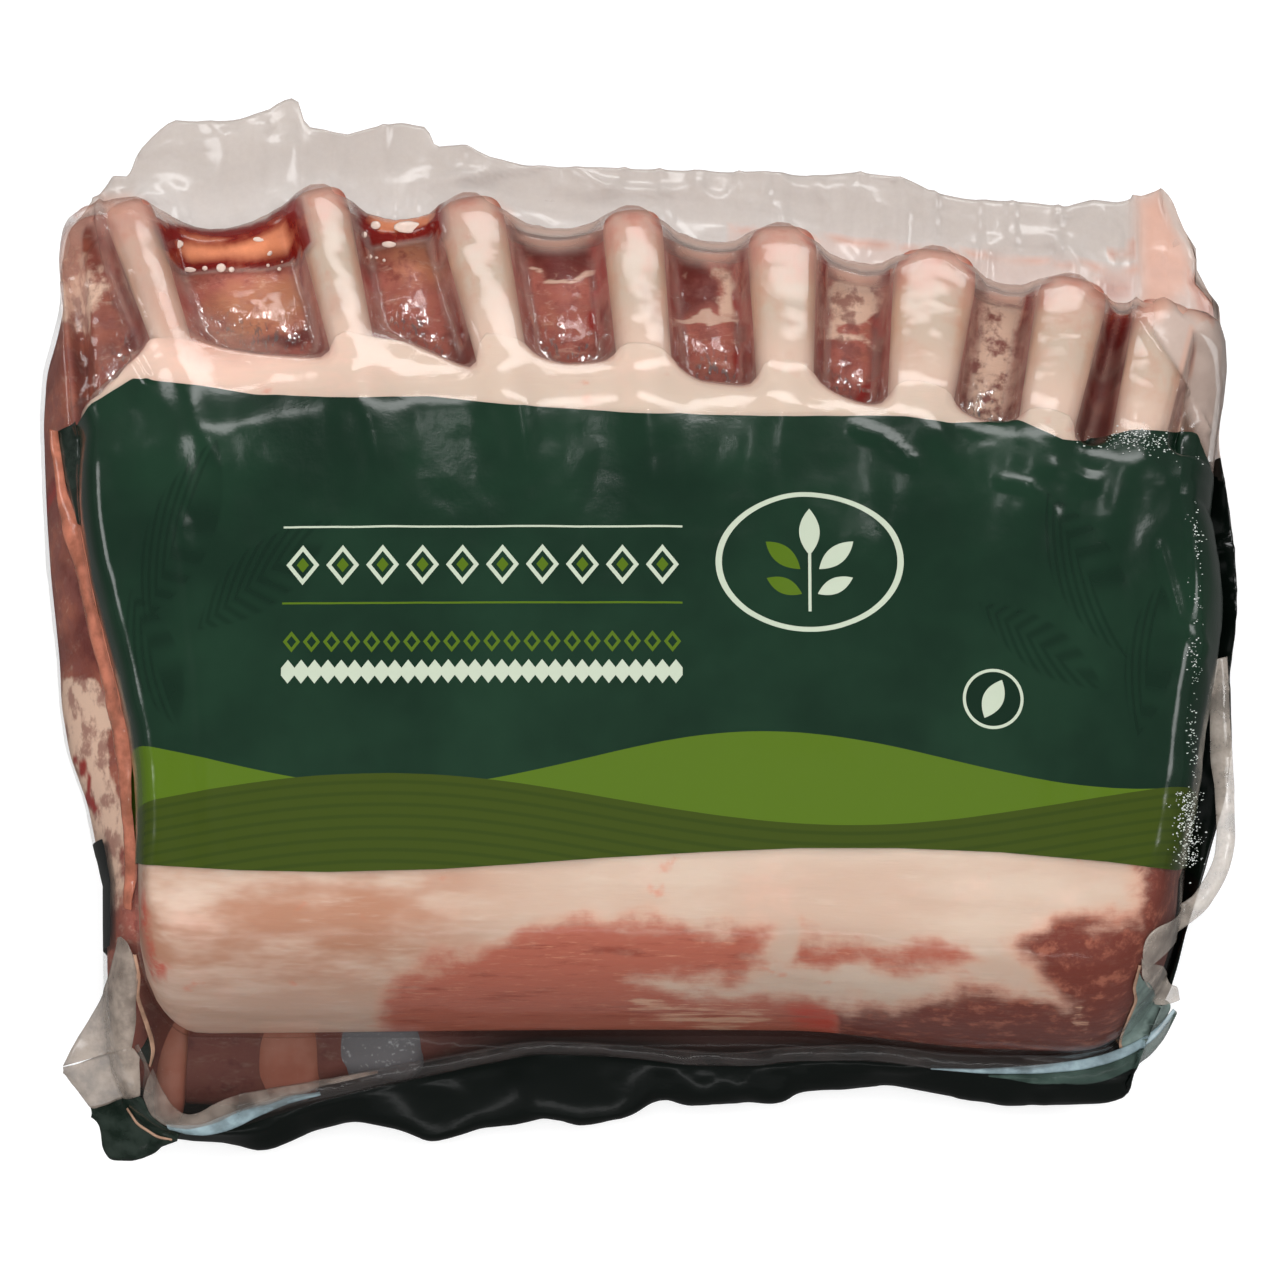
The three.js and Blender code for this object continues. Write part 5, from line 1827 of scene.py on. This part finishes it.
@dataclass(frozen=True)
class Strip:
    """A loose strip of film between two edges, thin and closed."""

    name: str
    kind: FilmKind
    first: tuple[Point, ...]
    second: tuple[Point, ...]
    crown: float = 0.0
    ripple: float = 0.15
    thickness: float = 0.12
    max_lift: float = 16.0
    length_steps: int = 160
    width_steps: int = 10

    @staticmethod
    def smooth(points: tuple[Point, ...], count: int) -> Array:
        """Return a smooth path of this many points through an edge's corners."""
        corners = np.array(points, float)
        steps = np.linalg.norm(np.diff(corners, axis=0), axis=1)
        place = np.r_[0.0, np.cumsum(steps)] / steps.sum()
        dense = np.linspace(0, 1, count)
        path = np.stack([np.interp(dense, place, corners[:, axis]) for axis in range(3)], axis=-1)
        reach = max(3, count // (len(corners) * 2) * 2 + 1)
        kernel = np.hanning(reach + 2)[1:-1]
        kernel /= kernel.sum()
        padded = np.pad(path, ((reach // 2, reach // 2), (0, 0)), mode="reflect", reflect_type="odd")
        return np.stack([np.convolve(padded[:, axis], kernel, "valid") for axis in range(3)], axis=-1)

    def lifted(self, sheet: Array, cover: BVHTree) -> Array:
        """Return the sheet with its hidden points drawn up onto what covers them.

        Args:
            sheet: the sheet's points in plan millimetres.
            cover: the surface of the bag, in plan millimetres.
        Returns:
            The moved points; none rises more than max_lift.
        """
        up = np.array((0.0, -MARK_SIN, MARK_COS))
        moved = sheet.copy()
        for index in np.ndindex(sheet.shape[:2]):
            start = sheet[index] + up * self.max_lift
            hit = cover.ray_cast(Vector(start), Vector(-up), self.max_lift)
            if hit[0] is not None:
                moved[index] = np.array(hit[0]) + up * (0.25 + self.thickness)
        rise = np.linalg.norm(moved - sheet, axis=-1)
        for _ in range(3):
            padded = np.pad(rise, 1, mode="edge")
            around = (padded[:-2, 1:-1] + padded[2:, 1:-1] + padded[1:-1, :-2] + padded[1:-1, 2:]) / 4
            rise = np.maximum(rise, 0.5 * rise + 0.5 * around)
        return sheet + rise[..., None] * up

    def build(self, finish: Material, cover: BVHTree) -> Piece:
        """Make the strip's mesh, lying on the bag, and dress it."""
        n, m = self.length_steps, self.width_steps
        first, second = self.smooth(self.first, n), self.smooth(self.second, n)
        share = np.linspace(0, 1, m)[None, :, None]
        sheet = lerp(first[:, None], second[:, None], share)
        along = np.gradient(sheet, axis=0)
        across = np.gradient(sheet, axis=1)
        normal = np.cross(across, along)
        normal /= np.linalg.norm(normal, axis=-1, keepdims=True) + 1e-9
        normal *= np.sign(normal[..., 2].mean() or 1.0)
        noise = Noise(sum(map(ord, self.name)))
        wave = noise.fractal(sheet[..., 0] + sheet[..., 2], sheet[..., 1], 7.0, 3)[..., None]
        sheet = sheet + normal * (self.crown * 4 * share * (1 - share) + self.ripple * wave)
        sheet = self.lifted(sheet, cover)
        top = (sheet + normal * self.thickness / 2).reshape(-1, 3)
        low = (sheet - normal * self.thickness / 2).reshape(-1, 3)
        index = np.arange(n * m).reshape(n, m)
        quads = np.stack([index[:-1, :-1], index[:-1, 1:], index[1:, 1:], index[1:, :-1]], axis=-1)
        quads = quads.reshape(-1, 4)
        rim = np.r_[index[:-1, 0], index[-1, :-1], index[:0:-1, -1], index[0, :0:-1]]
        following = np.roll(rim, -1)
        total = n * m
        walls = np.c_[rim, following, following + total, rim + total]
        faces = np.concatenate([quads, quads[:, ::-1] + total, walls])
        mesh = build_mesh(self.name, np.concatenate([top, low]), list(map(tuple, faces.tolist())))
        turn_outwards(mesh)
        return dress(mesh, finish)


def surface_of(piece: Piece) -> BVHTree:
    """Return a piece's surface, in plan millimetres, to drop points onto."""
    corners = np.array([vertex.co for vertex in piece.data.vertices])
    corners = (corners - np.array(PLACE.shift)) / MM
    return BVHTree.FromPolygons(corners.tolist(), [tuple(face.vertices) for face in piece.data.polygons])


def turn_outwards(piece: Piece) -> None:
    """Turn all faces of a closed piece outwards."""
    work = bmesh.new()
    work.from_mesh(piece.data)
    bmesh.ops.recalc_face_normals(work, faces=work.faces)
    work.to_mesh(piece.data)
    work.free()


STRIPS = (
    Strip("seam_lip", FilmKind.SEAM,
          ((-68.7, -76.6, 18.6), (-52.4, -73.8, 18.5), (-31.0, -69.6, 18.5), (-18.3, -67.5, 18.5),
           (-2.2, -68.0, 18.5), (10.3, -69.6, 18.5), (20.6, -69.2, 18.5), (31.0, -68.2, 18.5),
           (41.3, -68.2, 18.5), (53.3, -69.8, 18.5), (71.3, -70.0, 18.5), (80.8, -68.0, 19.0)),
          ((-68.8, -80.9, 15.6), (-52.4, -76.6, 15.6), (-31.0, -72.0, 16.0), (-18.3, -69.4, 16.0),
           (-2.2, -69.9, 16.0), (10.3, -71.7, 16.0), (20.6, -71.4, 16.0), (31.0, -70.6, 16.0),
           (41.3, -70.8, 16.0), (53.3, -72.6, 16.0), (71.3, -73.0, 16.2), (82.5, -69.6, 18.0)),
          0.5, 0.2, length_steps=320, width_steps=8),
    Strip("left_seam_film", FilmKind.VEIL,
          ((-83.3, -71.9, 18.6), (-82.3, -75.2, 18.6), (-80.8, -78.4, 18.6), (-78.3, -80.3, 18.6),
           (-75.8, -80.0, 18.6), (-72.4, -78.0, 18.6), (-68.7, -76.6, 18.6), (-60.0, -75.2, 18.5),
           (-52.4, -74.0, 18.5), (-45.0, -72.7, 18.5)),
          ((-84.9, -76.7, 17.6), (-84.0, -80.1, 17.4), (-81.7, -82.0, 17.2), (-78.3, -82.6, 17.0),
           (-75.2, -82.4, 17.0), (-71.7, -81.2, 17.0), (-68.8, -79.7, 17.0), (-60.0, -77.0, 17.0),
           (-52.4, -74.8, 17.6), (-45.0, -72.9, 18.3)),
          0.7, 0.35),
    Strip("left_seam_edge", FilmKind.BLUE,
          ((-81.2, -81.9, 17.6), (-78.4, -82.0, 17.5), (-75.2, -81.8, 17.4), (-71.8, -80.4, 17.4),
           (-68.8, -79.2, 17.3), (-65.9, -78.2, 17.2), (-61.7, -77.0, 17.2), (-55.0, -76.2, 17.0)),
          ((-80.6, -82.6, 15.8), (-77.8, -83.4, 15.8), (-74.6, -83.5, 15.8), (-71.5, -82.9, 15.8),
           (-68.9, -81.9, 15.8), (-65.6, -80.2, 15.8), (-61.4, -78.4, 16.0), (-54.8, -76.6, 16.4)),
          0.3, 0.15, length_steps=140, width_steps=8),
    Strip("right_seam_glow", FilmKind.BLUE,
          ((91.1, -62.8, 24.6), (89.1, -65.1, 23.4), (86.8, -67.0, 22.0), (83.8, -68.6, 20.8),
           (79.9, -69.9, 19.6), (76.1, -70.7, 18.4), (68.0, -71.6, 17.4), (58.0, -72.2, 17.0),
           (50.0, -72.1, 16.8)),
          ((91.5, -63.1, 23.8), (89.7, -65.9, 22.6), (87.4, -68.2, 21.2), (84.0, -70.2, 19.9),
           (80.2, -71.5, 18.7), (76.1, -72.4, 17.6), (68.0, -73.0, 16.6), (58.0, -72.9, 16.4),
           (50.0, -72.2, 16.7)),
          0.15, 0.1, length_steps=140, width_steps=6),
    Strip("right_under_film", FilmKind.DUSK,
          ((91.5, -62.9, 23.4), (89.7, -65.7, 22.0), (87.4, -67.9, 20.7), (84.1, -69.9, 19.4),
           (80.2, -71.2, 18.2), (76.2, -72.0, 17.0), (68.0, -72.8, 16.0),
           (60.0, -73.0, 15.5)),
          ((91.4, -63.3, 22.0), (90.2, -66.9, 20.5), (88.0, -69.5, 19.0), (85.2, -71.9, 17.5),
           (81.0, -73.8, 16.0), (76.7, -74.6, 14.6), (68.0, -74.4, 14.2),
           (60.0, -73.2, 15.3)),
          0.4, 0.25, length_steps=120),
    Strip("right_flange", FilmKind.CLEAR,
          ((98.0, -3.5, 30.4), (97.9, -12.0, 30.4), (97.8, -21.4, 30.4), (98.4, -25.4, 30.5),
           (98.5, -32.6, 30.6), (98.0, -37.4, 30.8), (96.7, -40.6, 31.0), (94.2, -44.4, 31.4),
           (91.0, -46.4, 31.8), (88.3, -47.5, 32.2), (85.1, -48.3, 32.4), (83.2, -49.9, 32.4),
           (82.6, -52.3, 32.2), (83.0, -54.7, 31.6)),
          ((101.2, -2.5, 30.0), (101.4, -12.0, 30.0), (101.6, -21.2, 30.0), (101.9, -25.0, 30.0),
           (101.8, -30.6, 30.0), (101.5, -35.8, 30.0), (100.6, -39.3, 30.0), (99.0, -42.9, 30.0),
           (96.6, -46.5, 30.2), (93.8, -48.8, 30.6), (91.0, -50.8, 31.0), (88.2, -52.6, 31.4),
           (85.8, -54.2, 31.4), (83.9, -55.7, 31.0)),
          0.7, 0.3, max_lift=40.0, length_steps=260, width_steps=14),
    Strip("corner_curl", FilmKind.CLEAR,
          ((82.6, -53.6, 32.0), (83.0, -56.5, 30.8), (84.3, -58.4, 29.8), (86.0, -59.7, 29.0),
           (86.9, -61.1, 28.2), (87.6, -62.3, 27.2)),
          ((84.4, -54.7, 31.6), (87.2, -55.3, 30.8), (89.2, -57.4, 30.0), (90.1, -59.3, 29.2),
           (91.5, -59.5, 28.4), (91.9, -61.6, 27.2)),
          0.8, 0.4, max_lift=40.0, length_steps=120, width_steps=14),
    Strip("corner_window", FilmKind.TEAL,
          ((82.4, -55.0, 30.4), (81.8, -58.3, 28.0), (82.7, -60.1, 25.6), (82.0, -63.1, 23.0),
           (81.9, -66.0, 20.4), (82.4, -68.6, 18.2)),
          ((84.4, -57.5, 29.6), (87.0, -60.6, 27.4), (90.8, -62.4, 25.2), (89.8, -64.9, 23.0),
           (87.5, -67.1, 20.6), (84.3, -69.3, 18.4)),
          0.5, 0.5, max_lift=40.0, length_steps=110, width_steps=14),
    Strip("corner_window_edge", FilmKind.TAN,
          ((82.2, -54.6, 31.0), (81.5, -58.3, 28.6), (82.4, -60.1, 26.2), (81.7, -63.1, 23.6),
           (81.6, -66.0, 21.0), (82.2, -68.8, 18.8)),
          ((82.7, -54.6, 30.8), (82.1, -58.3, 28.4), (83.0, -60.1, 26.0), (82.3, -63.1, 23.4),
           (82.2, -66.0, 20.8), (82.8, -68.8, 18.6)),
          0.1, 0.1, max_lift=40.0, length_steps=100, width_steps=4),
    Strip("left_hanging_film", FilmKind.GREY,
          ((-88.6, -49.6, 23.0), (-88.9, -51.3, 22.5), (-90.4, -55.7, 21.3), (-92.6, -60.5, 20.0),
           (-94.7, -63.8, 18.7), (-96.6, -66.5, 17.3), (-99.3, -71.6, 16.0)),
          ((-88.0, -49.4, 23.2), (-86.6, -50.2, 23.0), (-85.4, -52.7, 22.7), (-84.8, -56.4, 21.5),
           (-85.4, -60.5, 20.3), (-85.4, -63.2, 19.2), (-86.4, -68.2, 18.0)),
          0.9, 0.6, length_steps=110, width_steps=14),
    Strip("left_film_edge", FilmKind.TAN,
          ((-85.6, -53.0, 26.0), (-85.0, -56.5, 24.5), (-85.4, -60.0, 23.0), (-84.5, -63.4, 21.6),
           (-83.6, -66.8, 20.4), (-83.3, -69.2, 19.4), (-83.8, -71.5, 18.4)),
          ((-85.0, -53.0, 26.0), (-84.4, -56.5, 24.5), (-84.8, -59.8, 23.0), (-83.8, -63.4, 21.6),
           (-82.9, -66.8, 20.4), (-82.7, -69.2, 19.4), (-83.5, -71.6, 18.4)),
          0.1, 0.05, length_steps=90, width_steps=4),
    Strip("left_back_corner", FilmKind.GREEN,
          ((-85.4, -62.6, 17.0), (-86.5, -65.3, 16.7), (-87.8, -68.1, 16.3), (-87.9, -68.8, 16.0)),
          ((-85.1, -63.3, 17.0), (-83.7, -67.1, 16.7), (-83.6, -69.9, 16.3), (-84.0, -71.6, 16.0)),
          0.2, 0.2, max_lift=0.01, length_steps=50),
    Strip("left_tab", FilmKind.GREY,
          ((-99.2, -72.1, 17.0), (-96.2, -71.2, 17.4), (-92.7, -69.9, 17.8), (-89.2, -68.7, 18.2),
           (-86.1, -67.8, 18.8), (-85.0, -69.7, 18.6)),
          ((-99.2, -72.8, 15.0), (-97.4, -75.3, 14.6), (-94.5, -78.9, 14.2), (-91.5, -77.7, 13.8),
           (-88.4, -76.3, 13.4), (-85.3, -75.8, 13.4)),
          0.5, 0.5, length_steps=110, width_steps=16),
    Strip("left_tab_fold", FilmKind.VEIL,
          ((-86.0, -68.1, 19.3), (-84.8, -70.6, 18.9), (-83.9, -73.2, 18.5), (-82.9, -74.9, 18.2)),
          ((-86.8, -68.5, 18.8), (-84.9, -71.7, 18.0), (-85.3, -74.1, 17.0), (-85.4, -76.4, 16.0)),
          0.3, 0.3, max_lift=0.01, length_steps=60),
    Strip("left_green_corner", FilmKind.GREEN,
          ((-94.8, -78.7, 12.0), (-91.6, -77.6, 12.4), (-88.5, -76.1, 13.0), (-85.3, -75.6, 13.6),
           (-84.3, -79.3, 14.0), (-82.0, -81.8, 14.0), (-79.1, -83.0, 14.0)),
          ((-94.7, -79.7, 9.0), (-93.3, -81.8, 8.6), (-93.1, -85.3, 8.0), (-91.9, -87.1, 7.6),
           (-88.6, -87.3, 7.8), (-84.0, -86.0, 9.0), (-80.5, -83.6, 10.5)),
          1.2, 0.6, length_steps=140, width_steps=16),
    Strip("green_corner_edge", FilmKind.TAN,
          ((-88.2, -78.6, 14.6), (-86.4, -81.2, 14.4), (-83.0, -83.4, 13.8), (-80.6, -83.8, 13.0)),
          ((-88.5, -78.8, 14.2), (-86.7, -81.5, 14.0), (-83.1, -83.8, 13.4), (-80.6, -84.1, 12.6)),
          0.05, 0.05, length_steps=60, width_steps=3),
    Strip("left_juicy_fold", FilmKind.JUICY,
          ((-101.5, 35.3, 40.0), (-98.9, 16.7, 40.0), (-96.8, 11.9, 40.0), (-96.4, 9.5, 40.0),
           (-94.2, -0.1, 40.0), (-91.6, -8.9, 39.0), (-89.7, -15.6, 39.0), (-89.2, -20.2, 38.5),
           (-88.0, -28.0, 38.0), (-87.2, -36.0, 37.0), (-87.3, -46.0, 33.0)),
          ((-99.7, 34.6, 41.0), (-98.0, 23.3, 42.0), (-94.9, 17.6, 43.0), (-93.4, 11.2, 43.0),
           (-90.0, -2.8, 43.0), (-87.3, -11.1, 43.0), (-86.6, -17.4, 43.0), (-86.0, -25.0, 42.0),
           (-85.6, -33.0, 41.0), (-84.8, -40.8, 39.0), (-85.8, -47.0, 34.0)),
          0.9, 0.35, length_steps=260),
    Strip("left_green_flap", FilmKind.GREEN,
          ((-100.6, 34.5, 40.5), (-99.0, 29.0, 41.0), (-97.6, 23.5, 42.0), (-95.8, 18.0, 43.5)),
          ((-96.2, 35.5, 44.0), (-95.6, 29.0, 45.0), (-95.2, 23.5, 45.0), (-94.6, 17.0, 45.0)),
          0.3, 0.2, length_steps=60),
)


@dataclass(frozen=True)
class Dots:
    """Small rounded dots set on a surface: bubbles or frost."""

    name: str
    places: Array            # plan points
    sizes: Array             # half sizes along x, y and z
    refinement: int = 2

    def tree(self, finish: Material) -> bpy.types.GeometryNodeTree:
        """Build the node tree that sets a dot on every point of a mesh.

        Args:
            finish: the dots' material.
        Returns:
            The tree, with inputs Geometry, Dot Radius and Refinement.
        """
        tree = bpy.data.node_groups.new(f"{self.name}_tree", "GeometryNodeTree")
        tree.interface.new_socket("Geometry", in_out="INPUT", socket_type="NodeSocketGeometry")
        radius = tree.interface.new_socket("Dot Radius", in_out="INPUT", socket_type="NodeSocketFloat")
        radius.default_value = MM
        level = tree.interface.new_socket("Refinement", in_out="INPUT", socket_type="NodeSocketInt")
        level.default_value = self.refinement
        tree.interface.new_socket("Geometry", in_out="OUTPUT", socket_type="NodeSocketGeometry")
        graph = Graph(tree)
        source = graph.add("NodeGroupInput")
        ball = graph.add("GeometryNodeMeshIcoSphere", {"Radius": source.outputs["Dot Radius"],
                                                       "Subdivisions": source.outputs["Refinement"]})
        size = graph.add("GeometryNodeInputNamedAttribute", {"Name": "dot_size"}, data_type="FLOAT_VECTOR")
        dots = graph.add("GeometryNodeInstanceOnPoints", {
            "Points": source.outputs["Geometry"], "Instance": ball.outputs["Mesh"],
            "Scale": size.outputs["Attribute"]})
        real = graph.add("GeometryNodeRealizeInstances", {"Geometry": dots.outputs[0]})
        smooth = graph.add("GeometryNodeSetShadeSmooth", {"Geometry": real.outputs[0]})
        made = graph.add("GeometryNodeSetMaterial", {"Geometry": smooth.outputs[0], "Material": finish})
        graph.add("NodeGroupOutput", {"Geometry": made.outputs[0]})
        return tree

    def build(self, finish: Material, slot: str) -> Piece:
        """Make the dots as one plain mesh and dress it."""
        mesh = bpy.data.meshes.new(f"{self.name}_points")
        mesh.from_pydata(PLACE.metres(self.places).tolist(), [], [])
        layer = mesh.attributes.new("dot_size", "FLOAT_VECTOR", "POINT")
        layer.data.foreach_set("vector", np.ascontiguousarray(self.sizes, dtype=np.float32).ravel())
        points = placed(mesh.name, mesh)
        modifier = points.modifiers.new("dots", "NODES")
        tree = self.tree(finish)
        modifier.node_group = tree
        sockets = {item.name: item.identifier for item in tree.interface.items_tree
                   if item.in_out == "INPUT"}
        modifier[sockets["Dot Radius"]] = MM
        modifier[sockets["Refinement"]] = self.refinement
        evaluated = points.evaluated_get(bpy.context.evaluated_depsgraph_get())
        made = bpy.data.meshes.new_from_object(evaluated)
        bpy.data.objects.remove(points)
        return dress(placed(self.name, made), finish)


def juice_bubbles() -> Dots:
    """Return the air bubbles in the juice between the left-hand ribs."""
    spots = np.array((
        (-71.9, 62.1, 0.84, 0.84), (-70.1, 61.8, 0.51, 0.51), (-63.7, 64.8, 0.58, 0.58),
        (-61.7, 63.7, 0.39, 0.39), (-62.0, 62.3, 0.39, 0.39), (-63.9, 62.7, 0.32, 0.32),
        (-77.3, 62.0, 1.16, 0.51), (-74.7, 62.1, 0.51, 0.45), (-65.3, 66.9, 1.16, 0.51),
        (-79.7, 66.1, 1.41, 0.9), (-45.4, 69.4, 0.9, 0.77), (-39.8, 69.0, 2.57, 1.1),
        (-43.1, 66.2, 1.29, 0.64), (-47.3, 67.6, 0.51, 0.58), (-46.5, 64.4, 0.51, 0.45),
        (-44.0, 63.7, 0.32, 0.32), (-45.3, 64.2, 0.32, 0.26), (-47.0, 63.7, 0.26, 0.26)))
    x, y = spots[:, 0], spots[:, 1]
    places = np.stack([x, y, FORM.film(x, y) + 0.25], axis=-1)
    sizes = np.stack([spots[:, 2], spots[:, 3], np.full(len(x), 0.22)], axis=-1)
    return Dots("juice_bubbles", places, sizes)


def frost(count: int = 900) -> Dots:
    """Return the white frost specks on the band's right end."""
    draw = np.random.default_rng(41)
    upper = np.stack([draw.normal(84.0, 4.6, count), draw.normal(28.0, 1.3, count)], axis=-1)
    lower = np.stack([draw.normal(90.0, 1.3, count), draw.uniform(-44.0, -32.0, count)], axis=-1)
    streak = draw.choice([-38.0, -24.0, -9.0, 3.0, 12.0], count)
    edge = np.stack([draw.normal(91.8, 0.6, count) + 0.04 * streak,
                     streak + draw.normal(0, 3.0, count)], axis=-1)
    spots = np.concatenate([part[: count // 3] for part in (upper, lower, edge)])
    x, y = spots.T
    size = 0.05 + 0.09 * draw.random(len(x)) ** 2
    places = np.stack([x, y, FORM.film(x, y) + 0.32], axis=-1)
    sizes = np.stack([size * draw.uniform(1, 2, len(x)), size, size * 0.6], axis=-1)
    return Dots("film_frost", places, sizes, refinement=1)


@dataclass
class Studio:
    """Floor, lights and camera."""

    distance: float = 0.800
    elevation: float = 78.0
    view_width: float = 0.172 * 1280 * MM
    target: Point = (0.0, 0.0, 32.0)

    def build(self) -> None:
        """Make the studio."""
        self.floor()
        self.light("back_box", (0.12, 0.85, 0.75), (0.95, 0.3), 4.7)
        self.light("high_back_box", (-0.08, 0.62, 1.05), (0.05, 0.05), 0.15)
        self.light("low_front_box", (-0.1, -1.2, 0.42), (0.9, 0.12), 0.35)
        self.light("left_box", (-0.9, 0.25, 0.7), (0.5, 0.5), 3.7)
        self.light("right_box", (0.85, 0.1, 0.75), (0.4, 0.4), 2.4)
        self.light("front_fill", (-0.1, -1.0, 0.8), (0.9, 0.6), 6.5, mirrored=False)
        self.light("top_fill", (0.0, -0.15, 1.2), (0.9, 0.9), 6.1, mirrored=False)
        self.room()
        self.camera()

    def floor(self) -> None:
        """Lay the pale floor."""
        mesh = bpy.data.meshes.new("studio_floor")
        half, below = 3.0, -0.0002
        mesh.from_pydata([(-half, -half, below), (half, -half, below), (half, half, below),
                          (-half, half, below)], [], [(0, 1, 2, 3)])
        mesh.materials.append(FloorFinish().build())
        placed(mesh.name, mesh)

    def light(self, name: str, place: Point, size: Pair, watts: float, mirrored: bool = True) -> None:
        """Hang one soft box that looks at the pack.

        Args:
            name: object name.
            place: where it hangs, in metres.
            size: width and height in metres.
            watts: its power.
            mirrored: whether shiny film mirrors it.
        """
        data = bpy.data.lights.new(name, "AREA")
        data.shape = "ELLIPSE"
        data.size, data.size_y = size
        data.energy = watts
        lamp = placed(name, data)
        lamp.location = place
        lamp.visible_glossy = mirrored
        aim = Vector((0, 0, 0.03)) - Vector(place)
        lamp.rotation_euler = aim.to_track_quat("-Z", "Y").to_euler()

    def room(self) -> None:
        """Light the room softly, darker overhead than at its walls."""
        world = bpy.data.worlds.new("studio_world")
        bpy.context.scene.world = world
        world.use_nodes = True
        world.node_tree.nodes.clear()
        graph = Graph(world.node_tree)
        direction = graph.add("ShaderNodeTexCoord").outputs["Generated"]
        height = graph.add("ShaderNodeSeparateXYZ", {0: direction}).outputs[2]
        strength = graph.add("ShaderNodeMapRange", {"Value": height, "From Min": 0.35, "From Max": 0.95,
                                                    "To Min": 0.2, "To Max": 0.1}, clamp=True)
        sky = graph.add("ShaderNodeBackground", {0: (1, 1, 1, 1), 1: strength.outputs[0]})
        graph.add("ShaderNodeOutputWorld", {0: sky.outputs[0]})

    def camera(self) -> None:
        """Place the camera over the loin edge, looking down at the pack."""
        data = bpy.data.cameras.new("camera")
        data.sensor_width = 36.0
        data.sensor_fit = "HORIZONTAL"
        data.lens = 36.0 * self.distance / self.view_width
        data.clip_start = 0.01
        target = Vector(PLACE.metres(np.array([self.target]))[0])
        tilt = math.radians(self.elevation)
        away = Vector((0.0, -math.cos(tilt), math.sin(tilt)))
        camera = placed("camera", data)
        camera.location = target + away * self.distance
        camera.rotation_euler = (-away).to_track_quat("-Z", "Y").to_euler()
        bpy.context.scene.camera = camera


def main() -> None:
    """Build every piece in order and report it."""
    logging.basicConfig(level=logging.INFO, format="%(name)s: %(message)s")
    bpy.context.scene.view_settings.view_transform = "Standard"
    bone = BoneFinish().build()
    upper, lower = UpperRack(), LowerRack()
    pieces = [Bag().build(FilmFinish().build()), upper.build_body(FatFinish().build()),
              lower.build_body(MeatFinish().build())]
    pieces += [upper.build_bone(number, rib, bone) for number, rib in enumerate(RIBS, 1)]
    pieces += [lower.build_bone(number, bone) for number in range(1, len(lower.ribs) + 1)]
    strip_finish = {kind: StripFinish(kind).build() for kind in FilmKind}
    cover = surface_of(pieces[0])
    pieces += [strip.build(strip_finish[strip.kind], cover) for strip in STRIPS]
    air = DotFinish("air_bubble", srgb(232, 208, 194), 0.12).build()
    ice = DotFinish("frost_speck", srgb(226, 230, 226), 0.5).build()
    pieces += [juice_bubbles().build(air, "juice"), frost().build(ice, "printed_film")]
    Studio().build()
    for piece in pieces:
        LOG.info("%s: %d faces", piece.name, len(piece.data.polygons))


if __name__ == "__main__":
    main()
